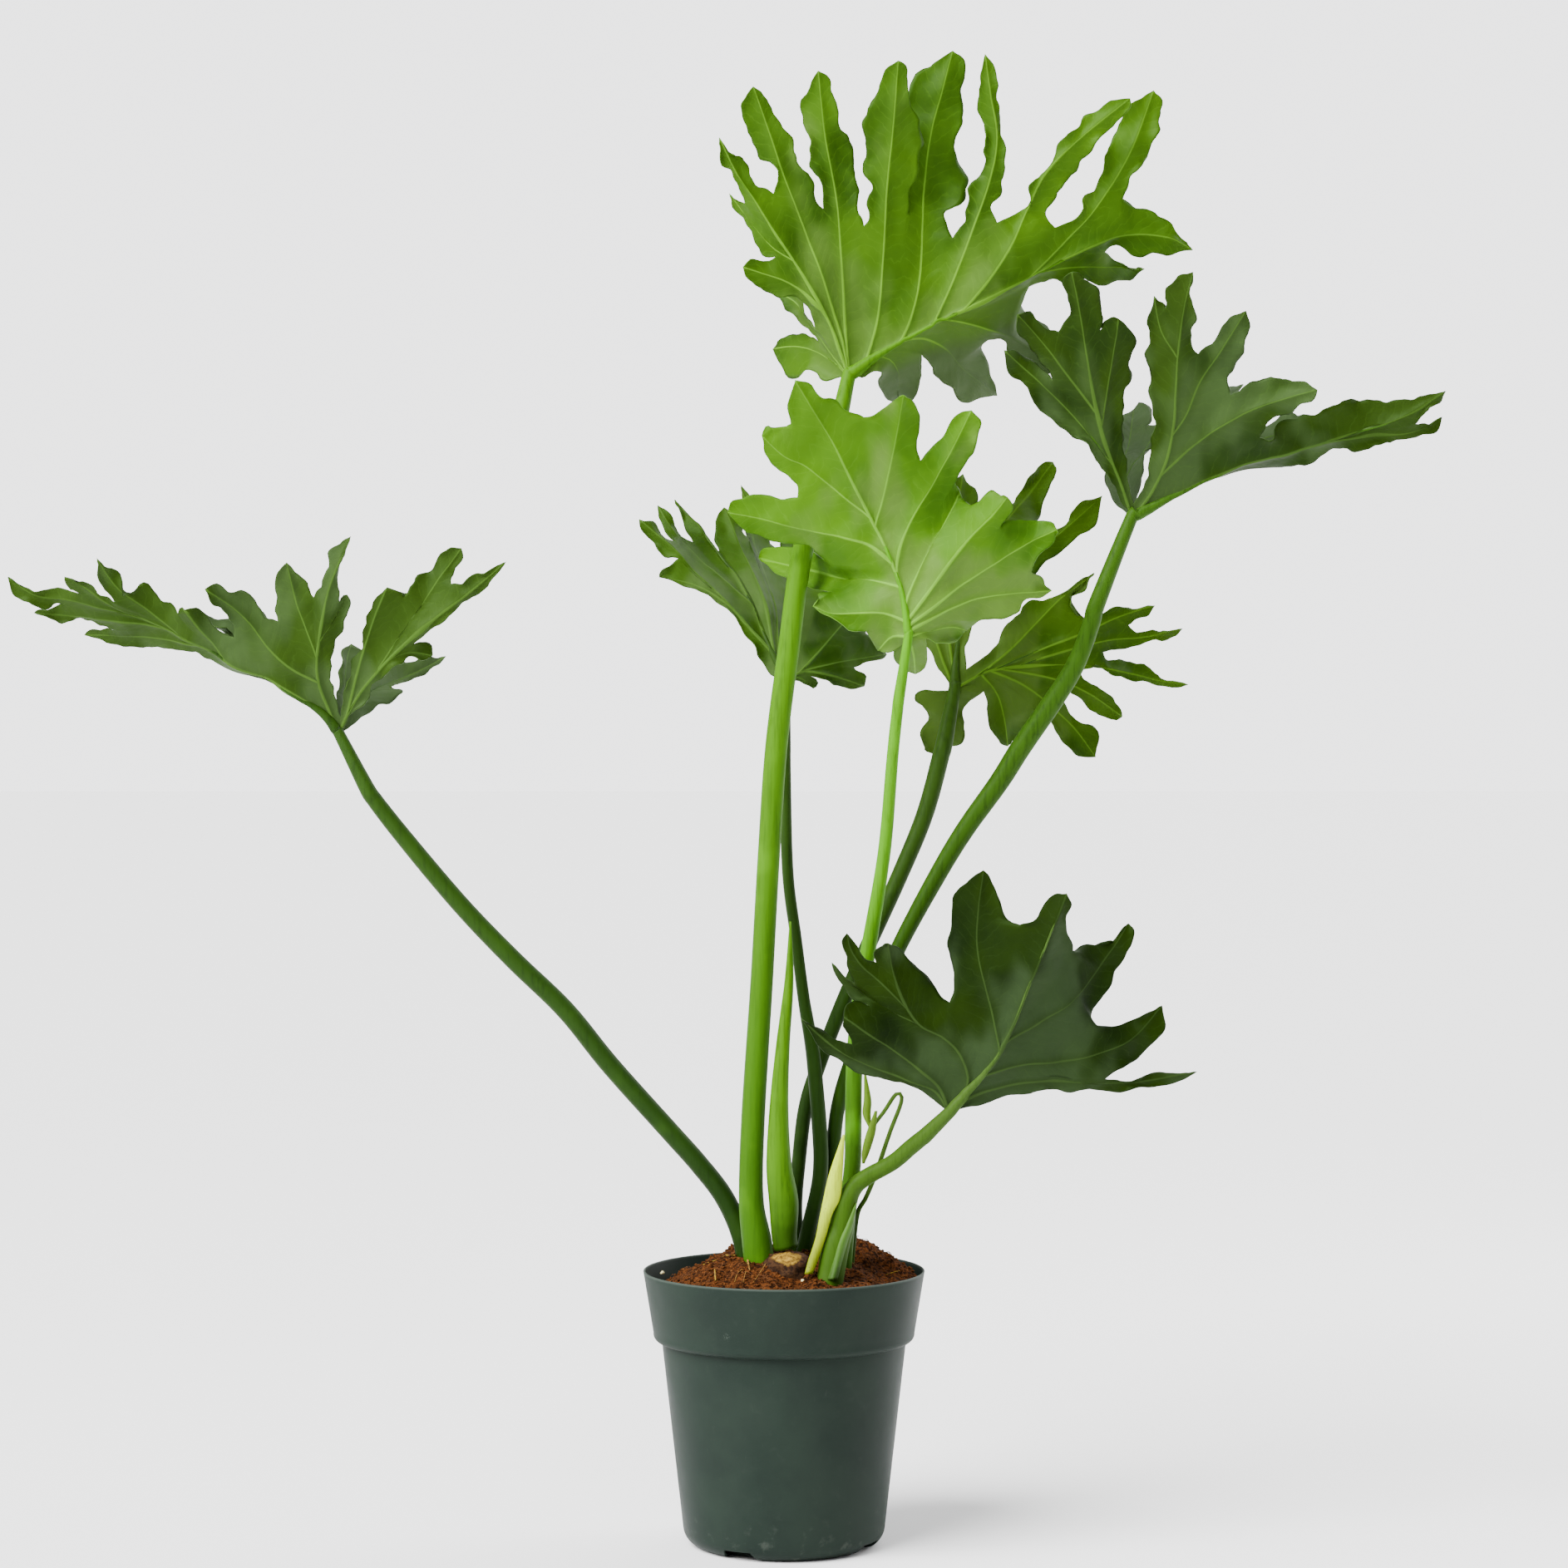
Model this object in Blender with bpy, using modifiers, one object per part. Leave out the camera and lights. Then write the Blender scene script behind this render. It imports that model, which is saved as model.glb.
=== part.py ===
"""A young split-leaf philodendron in a plain nursery pot, built in metres with +Z up.

The origin is the centre of the pot's foot. Stalks and leaves are laid out in millimetres
on a drawing plane through the pot's axis, seen level from the front. A place is written
(x, z) or (x, z, y): x to the right, z above the foot, y behind the plane. place() moves a
point back or forward along its line of sight, so the drawn view stays as it is.
"""
import math

import bmesh
import bpy
import numpy as np
from mathutils import Vector

MM = 0.001

# View that the drawing plane belongs to, metres
EYE_DISTANCE = 2.026
EYE_HEIGHT = 0.4447

# Gap kept between pieces that touch
GAP = 0.0003

# Pot, metres
RIM_RADIUS = 0.0825
RIM_HEIGHT = 0.160
COLLAR_RADIUS = 0.0766
COLLAR_HEIGHT = 0.041
BODY_TOP_RADIUS = 0.0713
BODY_FOOT_RADIUS = 0.0592
FOOT_HEIGHT = 0.0107
FOOT_RADIUS = 0.0490
WALL = 0.0013
LIP_ROUND = 0.0006
COLLAR_ROUND = 0.004
FLOOR_THICKNESS = 0.0016
STEPS = 36
NOTCH_COUNT = 4
NOTCH_TURN = math.radians(-28.0)
NOTCH_WIDTH = 0.026
NOTCH_TOP_WIDTH = 0.017
NOTCH_HEIGHT = 0.0055
NOTCH_IN = 0.044
NOTCH_OUT = 0.070

# Soil, metres
SOIL_EDGE = 0.1500
SOIL_MOUND = 0.0205
SOIL_LUMP = 0.0022
SOIL_TILT = 0.05
SOIL_RADIUS = 0.0785
SOIL_RINGS = 6
HOLE_CLEARANCE = 0.0004

# Blades, millimetres
BLADE_THICKNESS = 1.0
STATION = 19.0
ROWS = (0.0, 0.22, 1.0)
LEAN_POWER = 1.35
WEB_POWER = 1.5
EDGE_POWER = 2.5
BARE_STATIONS = 2
RIB_RIDGE = 2.6
VEIN_RIDGE = 1.3
RIDGE_END = 0.25
EDGE_WAVE = 0.9
EDGE_WAVE_LENGTH = 27.0
RUFFLE = 1.4

# Stalks
STALK_POINTS = 15
STALK_GAP = 0.0006
STALK_END = 2.3
STALK_TIP = 1.2
STALK_RUN = 0.5


def place(x, z, y):
    """World point of a drawn place, in metres."""
    spread = (EYE_DISTANCE + y * MM) / EYE_DISTANCE
    return Vector((x * MM * spread, y * MM, EYE_HEIGHT + (z * MM - EYE_HEIGHT) * spread))


def smooth_line(points, count):
    """count + 1 places, evenly spaced on a smooth curve through the points."""
    knots = np.array(points, dtype=float)
    if len(knots) > 2:
        ends = np.vstack([2 * knots[0] - knots[1], knots, 2 * knots[-1] - knots[-2]])
        fine = []
        for i in range(len(knots) - 1):
            a, b, c, d = ends[i:i + 4]
            for t in np.linspace(0.0, 1.0, 12, endpoint=False):
                fine.append(0.5 * (2 * b + (c - a) * t + (2 * a - 5 * b + 4 * c - d) * t ** 2
                                   + (3 * b - a - 3 * c + d) * t ** 3))
        fine.append(knots[-1])
        knots = np.array(fine)
    reach = np.concatenate([[0.0], np.cumsum(np.linalg.norm(np.diff(knots, axis=0), axis=1))])
    wanted = np.linspace(0.0, reach[-1], count + 1)
    return np.column_stack([np.interp(wanted, reach, knots[:, k]) for k in range(knots.shape[1])])


# Leaf blades. A blade is a rib of (x, z, y) places from the stalk to the end of the last
# lobe, and its lobes, clockwise as drawn, starting left of the stalk. A lobe is
# (name, parent, lean, vein, rise, fall, notch): the vein leaves its parent near its first
# place and ends at the lobe's tip, lean is how far behind its root the tip lies, rise and
# fall are the edge up to the tip and on to the notch before the next lobe. The lobe named
# "end" has the rib as its vein.
BLADES = {
    "blade_top": {
        "rib": [(38, 684, 12), (60, 699, 11), (100, 720, 10), (143, 741, 12), (185, 762, 15),
                (205, 767, 18), (225, 765, 22), (240, 758, 28)],
        "lobes": [
            ("p1", "rib", 48, [(38, 684), (30, 692), (18, 699), (4, 701), (-7, 700)],
             [(30, 683), (22, 682), (14, 688), (7, 685), (-1, 687)],
             [(1, 707), (11, 709)], (22, 703)),
            ("p2", "rib", 30, [(38, 684), (28, 698), (18, 713), (8, 726), (-3, 733)],
             [(15, 710), (8, 717), (0, 724)], [(6, 731), (13, 722)], (19, 712)),
            ("p3", "a", -8, [(23, 723), (12, 733), (0, 740), (-12, 744), (-24, 748)],
             [(16, 724), (7, 732), (-4, 732), (-13, 735), (-20, 740)],
             [(-19, 752), (-12, 753)], (-5, 754)),
            ("a0", "a", 8, [(6, 751), (-6, 759), (-18, 773), (-32, 791)],
             [(-14, 757), (-20, 768), (-22, 777), (-29, 782)], [(-28, 788)], (-23, 785)),
            ("a", "rib", -22, [(38, 684), (33, 698), (27, 714), (18, 731), (6, 751), (-6, 769),
                               (-16, 785), (-27, 801), (-38, 824)],
             [(-26, 794), (-32, 802), (-38, 811)],
             [(-34, 817), (-25, 813), (-20, 806), (-18, 799), (-11, 795)], (-6, 791)),
            ("b", "rib", -18, [(38, 684), (34, 705), (26, 730), (15, 762), (2, 795), (-8, 825),
                               (-18, 854)],
             [(-3, 801), (-7, 809), (-14, 812), (-17, 822), (-23, 832), (-24, 845)],
             [(-12, 850), (-6, 838), (4, 822), (10, 807), (17, 796), (19, 786)], (23, 782)),
            ("c", "rib", -12, [(38, 684), (36, 710), (34, 745), (31, 785), (24, 825), (20, 863)],
             [(22, 796), (16, 806), (16, 820), (12, 832), (12, 848)],
             [(26, 858), (31, 840), (38, 823), (42, 810), (42, 795), (44, 782)], (47, 772)),
            ("d", "rib", -20, [(46, 692), (55, 718), (58, 750), (60, 790), (64, 830), (67, 869)],
             [(50, 778), (49, 795), (47, 815), (48, 838), (55, 852), (59, 863)],
             [(73, 865), (74, 850), (79, 836), (81, 820), (78, 803), (75, 790)], (73, 778)),
            ("e", "rib", 8, [(68, 706), (75, 720), (80, 745), (82, 790), (86, 825), (93, 852),
                             (99, 875)],
             [(75, 800), (73, 822), (73, 845), (78, 861), (90, 869)],
             [(106, 868), (105, 845), (101, 822), (103, 808), (108, 799), (104, 786), (94, 779)],
             (99, 765)),
            ("f", "rib", -6, [(88, 714), (98, 737), (109, 765), (121, 800), (125, 825),
                              (121, 850), (118, 873)],
             [(105, 776), (108, 793), (116, 802), (119, 822), (114, 842), (115, 860)],
             [(124, 864), (126, 845), (128, 830), (130, 810), (126, 793), (122, 783)],
             (125, 774)),
            ("g", "rib", -14, [(106, 724), (122, 743), (134, 762), (143, 782), (153, 802),
                               (172, 822), (203, 847)],
             [(134, 779), (142, 787), (144, 797), (155, 804), (159, 816), (172, 831),
              (183, 840), (190, 846)],
             [(203, 840), (192, 829), (179, 815), (168, 801), (158, 787), (153, 779)],
             (159, 771)),
            ("h", "rib", 8, [(143, 741), (165, 763), (184, 784), (203, 815), (217, 852)],
             [(172, 776), (176, 788), (183, 795), (187, 808), (193, 822), (203, 842)],
             [(222, 845), (219, 828), (211, 810), (203, 798)], (199, 788)),
            ("end", "rib", 0, [],
             [(208, 783), (218, 780), (226, 772), (233, 765)],
             [(228, 757), (212, 755), (200, 757), (193, 760)], (188, 757)),
            ("j", "rib", 34, [(150, 745), (172, 748), (192, 748), (212, 747)],
             [(194, 752), (203, 748)], [(205, 742), (190, 739), (165, 739)], (145, 735)),
            ("k", "rib", 62, [(92, 716), (104, 716), (118, 713), (133, 707), (148, 698),
                              (161, 688)],
             [(141, 727), (147, 719), (157, 708)], [(150, 687), (138, 696), (127, 704)],
             (119, 707)),
            ("l", "rib", 70, [(70, 705), (84, 705), (96, 699), (105, 688), (124, 673)],
             [(115, 701), (119, 692), (122, 684)],
             [(116, 671), (108, 667), (101, 675), (95, 681), (90, 688)], (81, 696)),
            ("m", "rib", 50, [(55, 695), (63, 693), (67, 684), (66, 669)],
             [(80, 688), (80, 677), (75, 668)], [(59, 671), (56, 677), (57, 685), (47, 684)],
             None),
        ],
    },
    "blade_centre": {
        "rib": [(73, 531, -45), (71, 548, -44), (66, 568, -42), (59, 585, -41), (51, 600, -42),
                (40, 622, -46), (30, 642, -52), (19, 660, -60), (7, 681, -70)],
        "lobes": [
            ("q1", "rib", 16, [(73, 531), (63, 531), (55, 523)],
             [(68, 526), (61, 521)], [(52, 528)], (48, 534)),
            ("q2", "rib", 14, [(72, 540), (58, 545), (42, 545), (28, 545), (17, 549)],
             [(40, 535), (32, 539), (25, 544)], [(20, 553)], (28, 558)),
            ("l", "rib", 92, [(68, 560), (52, 564), (36, 565), (20, 569), (2, 573), (-16, 577)],
             [(20, 561), (12, 561), (3, 565), (-6, 570)],
             [(-14, 582), (-3, 583), (9, 580), (18, 576)], (28, 571)),
            ("k", "rib", 12, [(64, 574), (50, 585), (33, 590), (10, 594), (-12, 600), (-33, 604)],
             [(17, 580), (5, 583), (-9, 587), (-20, 592), (-28, 598)],
             [(-30, 611), (-20, 614), (-5, 613)], (8, 613)),
            ("j", "rib", -6, [(50, 602), (40, 609), (25, 621), (12, 631), (0, 637), (-13, 649)],
             [(8, 620), (3, 624), (-4, 628), (-10, 637)], [(-10, 655), (-3, 654)], (4, 656)),
            ("end", "rib", 0, [],
             [(3, 665), (5, 675)], [(15, 679), (22, 672), (30, 669), (39, 664)], (47, 660)),
            ("u1", "rib", -26, [(54, 596), (58, 612), (62, 630), (66, 650), (70, 673)],
             [(55, 661), (63, 669)], [(77, 667), (80, 657), (78, 645)], (80, 634)),
            ("u2", "rib", -18, [(66, 568), (69, 586), (76, 602), (86, 618), (96, 636), (110, 664)],
             [(87, 643), (95, 653), (102, 661)], [(115, 656), (113, 645), (107, 632)],
             (101, 621)),
            ("u3", "rib", 4, [(71, 548), (75, 560), (81, 573), (89, 588), (97, 603), (104, 617)],
             [(103, 618)], [(107, 612)], (110, 608)),
            ("u4", "rib", -16, [(72, 541), (84, 556), (97, 574), (110, 590), (122, 602), (131, 613)],
             [(115, 611), (121, 617)], [(134, 607), (132, 601)], (126, 595)),
            ("u5", "rib", -4, [(73, 536), (88, 549), (104, 561), (122, 573), (142, 585), (160, 594)],
             [(132, 599), (146, 600), (156, 598)], [(158, 587), (152, 581), (147, 575)],
             (145, 569)),
            ("u6", "rib", 16, [(73, 533), (88, 543), (106, 551), (126, 556), (157, 558)],
             [(149, 566), (153, 561)],
             [(150, 554), (142, 552), (137, 546), (126, 541)], (114, 541)),
            ("u7", "rib", 26, [(73, 532), (86, 535), (98, 537), (107, 535)],
             [(110, 537)], [(101, 529), (91, 527)], (83, 530)),
            ("u8", "rib", 34, [(73, 531), (76, 521), (77, 509)],
             [(84, 519), (82, 511)], [(70, 512), (65, 521)], None),
        ],
    },
    "blade_right": {
        "rib": [(204, 601, 8), (220, 609, 8), (240, 619, 9), (260, 628, 10), (280, 635, 11),
                (300, 640, 12), (330, 649, 12), (360, 658, 11), (388, 675, 8)],
        "lobes": [
            ("r1", "r3", -4, [(193, 632), (180, 649), (163, 668), (147, 683), (129, 699)],
             [(197, 611), (191, 625), (182, 637), (171, 647), (160, 656), (149, 667),
              (142, 678), (131, 689)],
             [(137, 697), (145, 692), (151, 687)], (158, 681)),
            ("r2", "r3", -16, [(183, 663), (170, 680), (157, 697), (147, 709), (137, 720)],
             [(150, 693), (143, 703), (137, 711)], [(144, 721), (151, 716)], (161, 710)),
            ("r3", "rib", -30, [(204, 601), (198, 619), (191, 637), (184, 660), (179, 685),
                                (175, 712), (169, 745)],
             [(166, 718), (166, 728), (163, 741)],
             [(175, 744), (183, 735), (187, 725), (187, 716)], (185, 711)),
            ("r4", "r3", -14, [(186, 653), (189, 675), (193, 697), (196, 718)],
             [(189, 716)],
             [(202, 713), (206, 700), (203, 688), (202, 676), (199, 664), (199, 648),
              (201, 628)], (205, 609)),
            ("c0", "c1", -6, [(228, 694), (221, 711), (217, 731)],
             [(212, 621), (217, 640), (216, 664), (215, 688), (214, 714)], [(221, 728)],
             (223, 723)),
            ("c1", "rib", -42, [(204, 601), (214, 613), (223, 631), (228, 652), (230, 680),
                                (232, 706), (235, 726), (240, 745)],
             [(225, 734), (231, 743)],
             [(238, 733), (242, 722), (238, 709), (239, 702)], (243, 697)),
            ("c2", "c1", -22, [(227, 648), (236, 662), (245, 682), (257, 700), (271, 722)],
             [(250, 703), (256, 712), (262, 718)],
             [(273, 714), (271, 702), (266, 690), (261, 682)], (262, 673)),
            ("c3", "c1", -26, [(221, 626), (234, 638), (250, 650), (270, 662), (292, 670),
                               (313, 676)],
             [(272, 678), (283, 685), (292, 682), (302, 682)],
             [(309, 668), (298, 662), (287, 659)], (279, 648)),
            ("end", "rib", 0, [],
             [(286, 647), (291, 655), (302, 659), (312, 661), (320, 667), (338, 670),
              (356, 670), (371, 671)],
             [(382, 667), (376, 662)], (370, 656)),
            ("e2", "rib", 10, [(318, 646), (345, 648), (368, 651), (386, 660)],
             [(378, 657)], [(382, 651), (370, 648), (355, 645), (340, 642), (322, 637),
                               (308, 632)], (292, 631)),
        ],
    },
    "blade_rear_right": {
        "rib": [(100, 500, 42), (101, 520, 50), (105, 545, 66), (114, 572, 88), (130, 598, 114),
                (144, 615, 134), (158, 634, 152)],
        "lobes": [
            ("s2", "rib", 46, [(100, 500), (92, 520), (84, 545), (78, 572)],
             [(93, 509), (86, 520), (80, 540), (72, 560)], [(84, 570), (88, 560)], (92, 556)),
            ("s3", "rib", 92, [(100, 506), (96, 540), (98, 580), (105, 627)],
             [(90, 575), (92, 600), (98, 620)], [(112, 619), (112, 606), (113, 597)], (120, 594)),
            ("end", "rib", 0, [],
             [(130, 608), (139, 613), (144, 624), (151, 633)],
             [(160, 629), (157, 620), (151, 610), (147, 601)], (142, 592)),
            ("s5", "rib", 40, [(109, 560), (126, 573), (144, 583), (162, 592), (186, 613)],
             [(160, 596), (168, 603), (176, 610)],
             [(184, 600), (177, 592), (170, 589), (160, 580), (148, 571), (130, 560),
              (114, 545), (107, 530)], (107, 512)),
            ("s6", "s9", 26, [(112, 507), (130, 521), (148, 539), (164, 555), (183, 568)],
             [(115, 518), (124, 527), (133, 539), (142, 551), (153, 553), (163, 557),
              (173, 564)],
             [(177, 560), (171, 553), (171, 545)], (177, 540)),
            ("s7", "s9", 30, [(124, 511), (150, 523), (175, 533), (197, 543), (217, 549)],
             [(186, 543), (192, 547), (201, 549), (209, 547)], [(212, 544)], (202, 538)),
            ("s8", "s9", 36, [(140, 514), (165, 523), (190, 529), (213, 531), (234, 536)],
             [(207, 533), (216, 536), (224, 533)],
             [(229, 531), (220, 528), (208, 527), (197, 524)], (187, 522)),
            ("s9", "rib", 44, [(100, 500), (110, 506), (121, 511), (145, 514), (175, 514),
                               (205, 509), (222, 505), (237, 503)],
             [(190, 517), (199, 518), (208, 515), (216, 511), (222, 506)],
             [(230, 501), (221, 503), (204, 506), (186, 511)], (173, 511)),
            ("s10", "s9", 28, [(128, 512), (146, 509), (163, 505), (180, 497), (199, 484)],
             [(175, 505), (182, 503), (191, 497), (197, 490)],
             [(195, 481), (187, 485), (176, 493)], (166, 500)),
            ("s11", "s9", 34, [(122, 511), (140, 503), (155, 492), (170, 478), (182, 461)],
             [(164, 492), (169, 486), (178, 480), (184, 472)],
             [(172, 461), (167, 467), (161, 474), (156, 482)], (147, 488)),
            ("s12", "s9", 20, [(117, 509), (125, 497), (129, 482), (131, 467)],
             [(144, 478), (138, 470)], [(125, 470), (121, 480), (120, 490)], (117, 499)),
            ("s1", "rib", 20, [(100, 500), (99, 488), (95, 474), (90, 461)],
             [(110, 494), (106, 488), (106, 480), (103, 469)],
             [(82, 463), (81, 472), (83, 483), (77, 490), (80, 498)], None),
        ],
    },
    "blade_low": {
        "rib": [(97, 252, -64), (105, 261, -66), (115, 272, -68), (126, 287, -72),
                (136, 306, -78), (146, 331, -88), (155, 352, -98), (166, 381, -112)],
        "lobes": [
            ("t1", "rib", -6, [(97, 252), (88, 265), (70, 272), (48, 281), (28, 291), (10, 307)],
             [(84, 262), (70, 270), (55, 271), (40, 278), (24, 288)],
             [(20, 300), (31, 293)], (40, 293)),
            ("t2", "rib", -16, [(97, 252), (90, 268), (73, 282), (55, 295), (35, 308)],
             [(38, 299), (34, 303)], [(37, 315), (43, 318)], (50, 314)),
            ("t3", "t5", 6, [(80, 303), (64, 311), (48, 321), (36, 331), (28, 340)],
             [(40, 319), (32, 329)], [(34, 333)], (42, 327)),
            ("t4", "t5", -8, [(72, 315), (60, 326), (46, 338), (39, 348), (37, 357)],
             [(38, 336), (34, 350)], [(42, 350), (48, 343)], (54, 340)),
            ("t5", "rib", -18, [(104, 260), (108, 272), (103, 286), (93, 296), (80, 303), (71, 316),
                                (64, 334), (61, 351)],
             [(54, 346)], [(68, 348), (76, 340), (87, 327), (93, 320)], (97, 317)),
            ("t6", "rib", -16, [(127, 289), (123, 306), (118, 326), (113, 350), (114, 372),
                                (117, 394)],
             [(100, 326), (97, 345), (98, 365), (101, 381), (109, 389)],
             [(122, 389), (126, 376), (131, 366)], (138, 362)),
            ("end", "rib", 0, [],
             [(147, 364), (151, 373), (158, 379)], [(169, 374), (165, 366), (168, 356)],
             (171, 346)),
            ("t8", "rib", 14, [(130, 294), (148, 303), (166, 317), (182, 332), (202, 363)],
             [(180, 350), (190, 350), (196, 357)],
             [(206, 357), (199, 341), (193, 328), (186, 318), (182, 309)], (184, 303)),
            ("t9", "rib", 22, [(117, 275), (138, 280), (162, 281), (186, 287), (206, 297),
                               (222, 315)],
             [(194, 302), (204, 307), (214, 310)],
             [(224, 304), (220, 295), (210, 286), (199, 278)], (188, 272)),
            ("t10", "rib", 18, [(102, 257), (120, 265), (145, 270), (175, 270), (208, 270),
                                (242, 276)],
             [(200, 270), (212, 274), (224, 274)],
             [(232, 270), (215, 267), (195, 265), (172, 265), (145, 264), (120, 258)], None),
        ],
    },
    "blade_rear_left": {
        "rib": [(1, 506, 28), (-8, 524, 34), (-19, 548, 46), (-30, 570, 60), (-45, 590, 76),
                (-64, 611, 92)],
        "lobes": [
            ("w1", "w2", 8, [(-34, 551), (-45, 558), (-57, 563), (-73, 566)],
             [(-11, 512), (-20, 530), (-31, 545), (-44, 554), (-60, 562)],
             [(-71, 571), (-66, 575)], (-62, 577)),
            ("w2", "rib", 20, [(-7, 522), (-21, 537), (-34, 551), (-48, 566), (-64, 582),
                               (-85, 600)],
             [(-72, 580), (-81, 590)], [(-77, 597), (-70, 591)], (-63, 587)),
            ("w3", "rib", 30, [(-19, 548), (-40, 569), (-57, 585), (-67, 596), (-74, 608)],
             [(-69, 594), (-75, 602)], [(-68, 603), (-60, 592)], (-53, 587)),
            ("end", "rib", 0, [],
             [(-58, 597), (-64, 607)], [(-58, 603), (-50, 595), (-44, 588)], (-38, 582)),
            ("w5", "rib", 62, [(-6, 520), (-11, 548), (-22, 578), (-35, 606)],
             [(-41, 593), (-40, 602)], [(-28, 603), (-22, 595)], (-18, 590)),
            ("w6", "rib", 96, [(-2, 512), (-6, 545), (-14, 580), (-25, 619)],
             [(-23, 604)], [(-16, 608), (-7, 592)], (-2, 582)),
            ("w7", "rib", 110, [(1, 506), (5, 535), (8, 565), (11, 600)],
             [(2, 594)], [(19, 590), (24, 575)], (24, 560)),
            ("w8", "w9", 48, [(8, 509), (22, 524), (34, 538), (46, 550)],
             [(32, 556)], [(50, 542)], (48, 533)),
            ("w9", "rib", 42, [(1, 506), (12, 511), (28, 515), (44, 518), (61, 521)],
             [(54, 528)], [(57, 518), (49, 516)], (41, 513)),
            ("w10", "w9", 20, [(12, 511), (24, 509), (36, 506), (47, 502)],
             [(48, 508)], [(42, 500), (32, 503), (22, 506)], (15, 508)),
            ("w11", "rib", 10, [(1, 506), (9, 507), (17, 501)],
             [(19, 504)], [(12, 503)], None),
        ],
    },
    "blade_left": {
        "rib": [(-261, 474, 0), (-268, 483, -1), (-280, 493, -2), (-300, 505, -3),
                (-320, 512, -4), (-340, 524, -5), (-362, 536, -6), (-390, 547, -7),
                (-415, 552, -8), (-438, 555, -8), (-455, 566, -8)],
        "lobes": [
            ("y1", "rib", 22, [(-345, 526), (-365, 530), (-388, 532), (-411, 532)],
             [(-352, 523), (-370, 525), (-392, 527)], [(-402, 536)], (-392, 536)),
            ("y2", "rib", 10, [(-362, 536), (-390, 541), (-416, 543), (-440, 545)],
             [(-408, 539), (-424, 540)], [(-434, 548)], (-422, 549)),
            ("end", "rib", 0, [],
             [(-440, 549), (-451, 556)], [(-450, 562), (-440, 559), (-428, 558)], (-412, 556)),
            ("y4", "rib", -14, [(-375, 541), (-392, 550), (-407, 558), (-422, 566)],
             [(-418, 560)], [(-414, 565), (-404, 560), (-398, 555)], (-392, 552)),
            ("y5", "rib", -20, [(-350, 530), (-368, 543), (-384, 555), (-394, 563), (-403, 577)],
             [(-397, 556), (-402, 566)],
             [(-398, 571), (-390, 568), (-384, 560), (-376, 561), (-370, 556), (-360, 551)],
             (-355, 545)),
            ("y7", "rib", -16, [(-328, 516), (-336, 528), (-344, 538), (-351, 548)],
             [(-353, 548)], [(-344, 547), (-337, 540), (-331, 533)], (-323, 530)),
            ("v1", "v3", -22, [(-271, 504), (-289, 513), (-302, 524), (-314, 539), (-326, 550),
                               (-340, 559)],
             [(-322, 536), (-329, 545), (-338, 554)],
             [(-333, 561), (-322, 558), (-314, 556), (-307, 546)], (-297, 540)),
            ("v2", "v3", -14, [(-272, 518), (-280, 535), (-287, 554), (-292, 574)],
             [(-298, 551), (-299, 563), (-296, 570)],
             [(-287, 570), (-283, 565), (-278, 561)], (-276, 554)),
            ("v3", "rib", -38, [(-261, 474), (-268, 490), (-273, 504), (-274, 518), (-271, 540),
                                (-266, 562), (-254, 590)],
             [(-271, 560), (-269, 574), (-264, 583)],
             [(-258, 582), (-262, 570), (-261, 558)], (-261, 552)),
            ("v4", "v3", -4, [(-271, 528), (-264, 542), (-256, 556)],
             [(-259, 555)], [(-254, 548), (-258, 538), (-264, 530), (-266, 512), (-263, 497)],
             (-260, 484)),
            ("x1", "x3", -14, [(-257, 484), (-252, 504), (-246, 525), (-240, 543), (-233, 560)],
             [(-259, 490), (-257, 505), (-250, 522), (-246, 537), (-242, 549)],
             [(-229, 557)], (-221, 557)),
            ("x2", "x3", -10, [(-240, 509), (-228, 527), (-214, 547), (-203, 564), (-189, 583)],
             [(-216, 566), (-209, 568), (-204, 576), (-197, 582)], [(-189, 576), (-193, 568)],
             (-195, 562)),
            ("x3", "rib", -24, [(-261, 474), (-257, 484), (-249, 498), (-238, 511), (-222, 527),
                                (-203, 543), (-183, 558), (-163, 575)],
             [(-187, 562), (-180, 569), (-170, 571)],
             [(-170, 566), (-184, 553), (-199, 541), (-212, 532)], (-219, 526)),
            ("x4", "x3", 6, [(-231, 518), (-220, 522), (-206, 520)],
             [(-212, 528), (-206, 525)], [(-212, 517), (-221, 519), (-236, 508), (-250, 489)],
             None),
        ],
    },
}


# Far half of a folded blade: its turn about the rib in degrees, its size, the near lobes it
# repeats in order around the blade, near places beside its outermost vein, and the notch
# where it passes into the near half, if that comes after it
FAR_HALVES = {
    "blade_right": (62.0, 0.84, ["c3", "c2", "c1", "c0", "r4", "r3"],
                    [(172, 690), (172, 660), (183, 630)], None),
    "blade_left": (52.0, 0.84, ["x3", "x2", "x1", "v4", "v3", "v2", "v1"],
                   [(-246, 488), (-228, 505), (-208, 520)], (-330, 514)),
}

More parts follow.
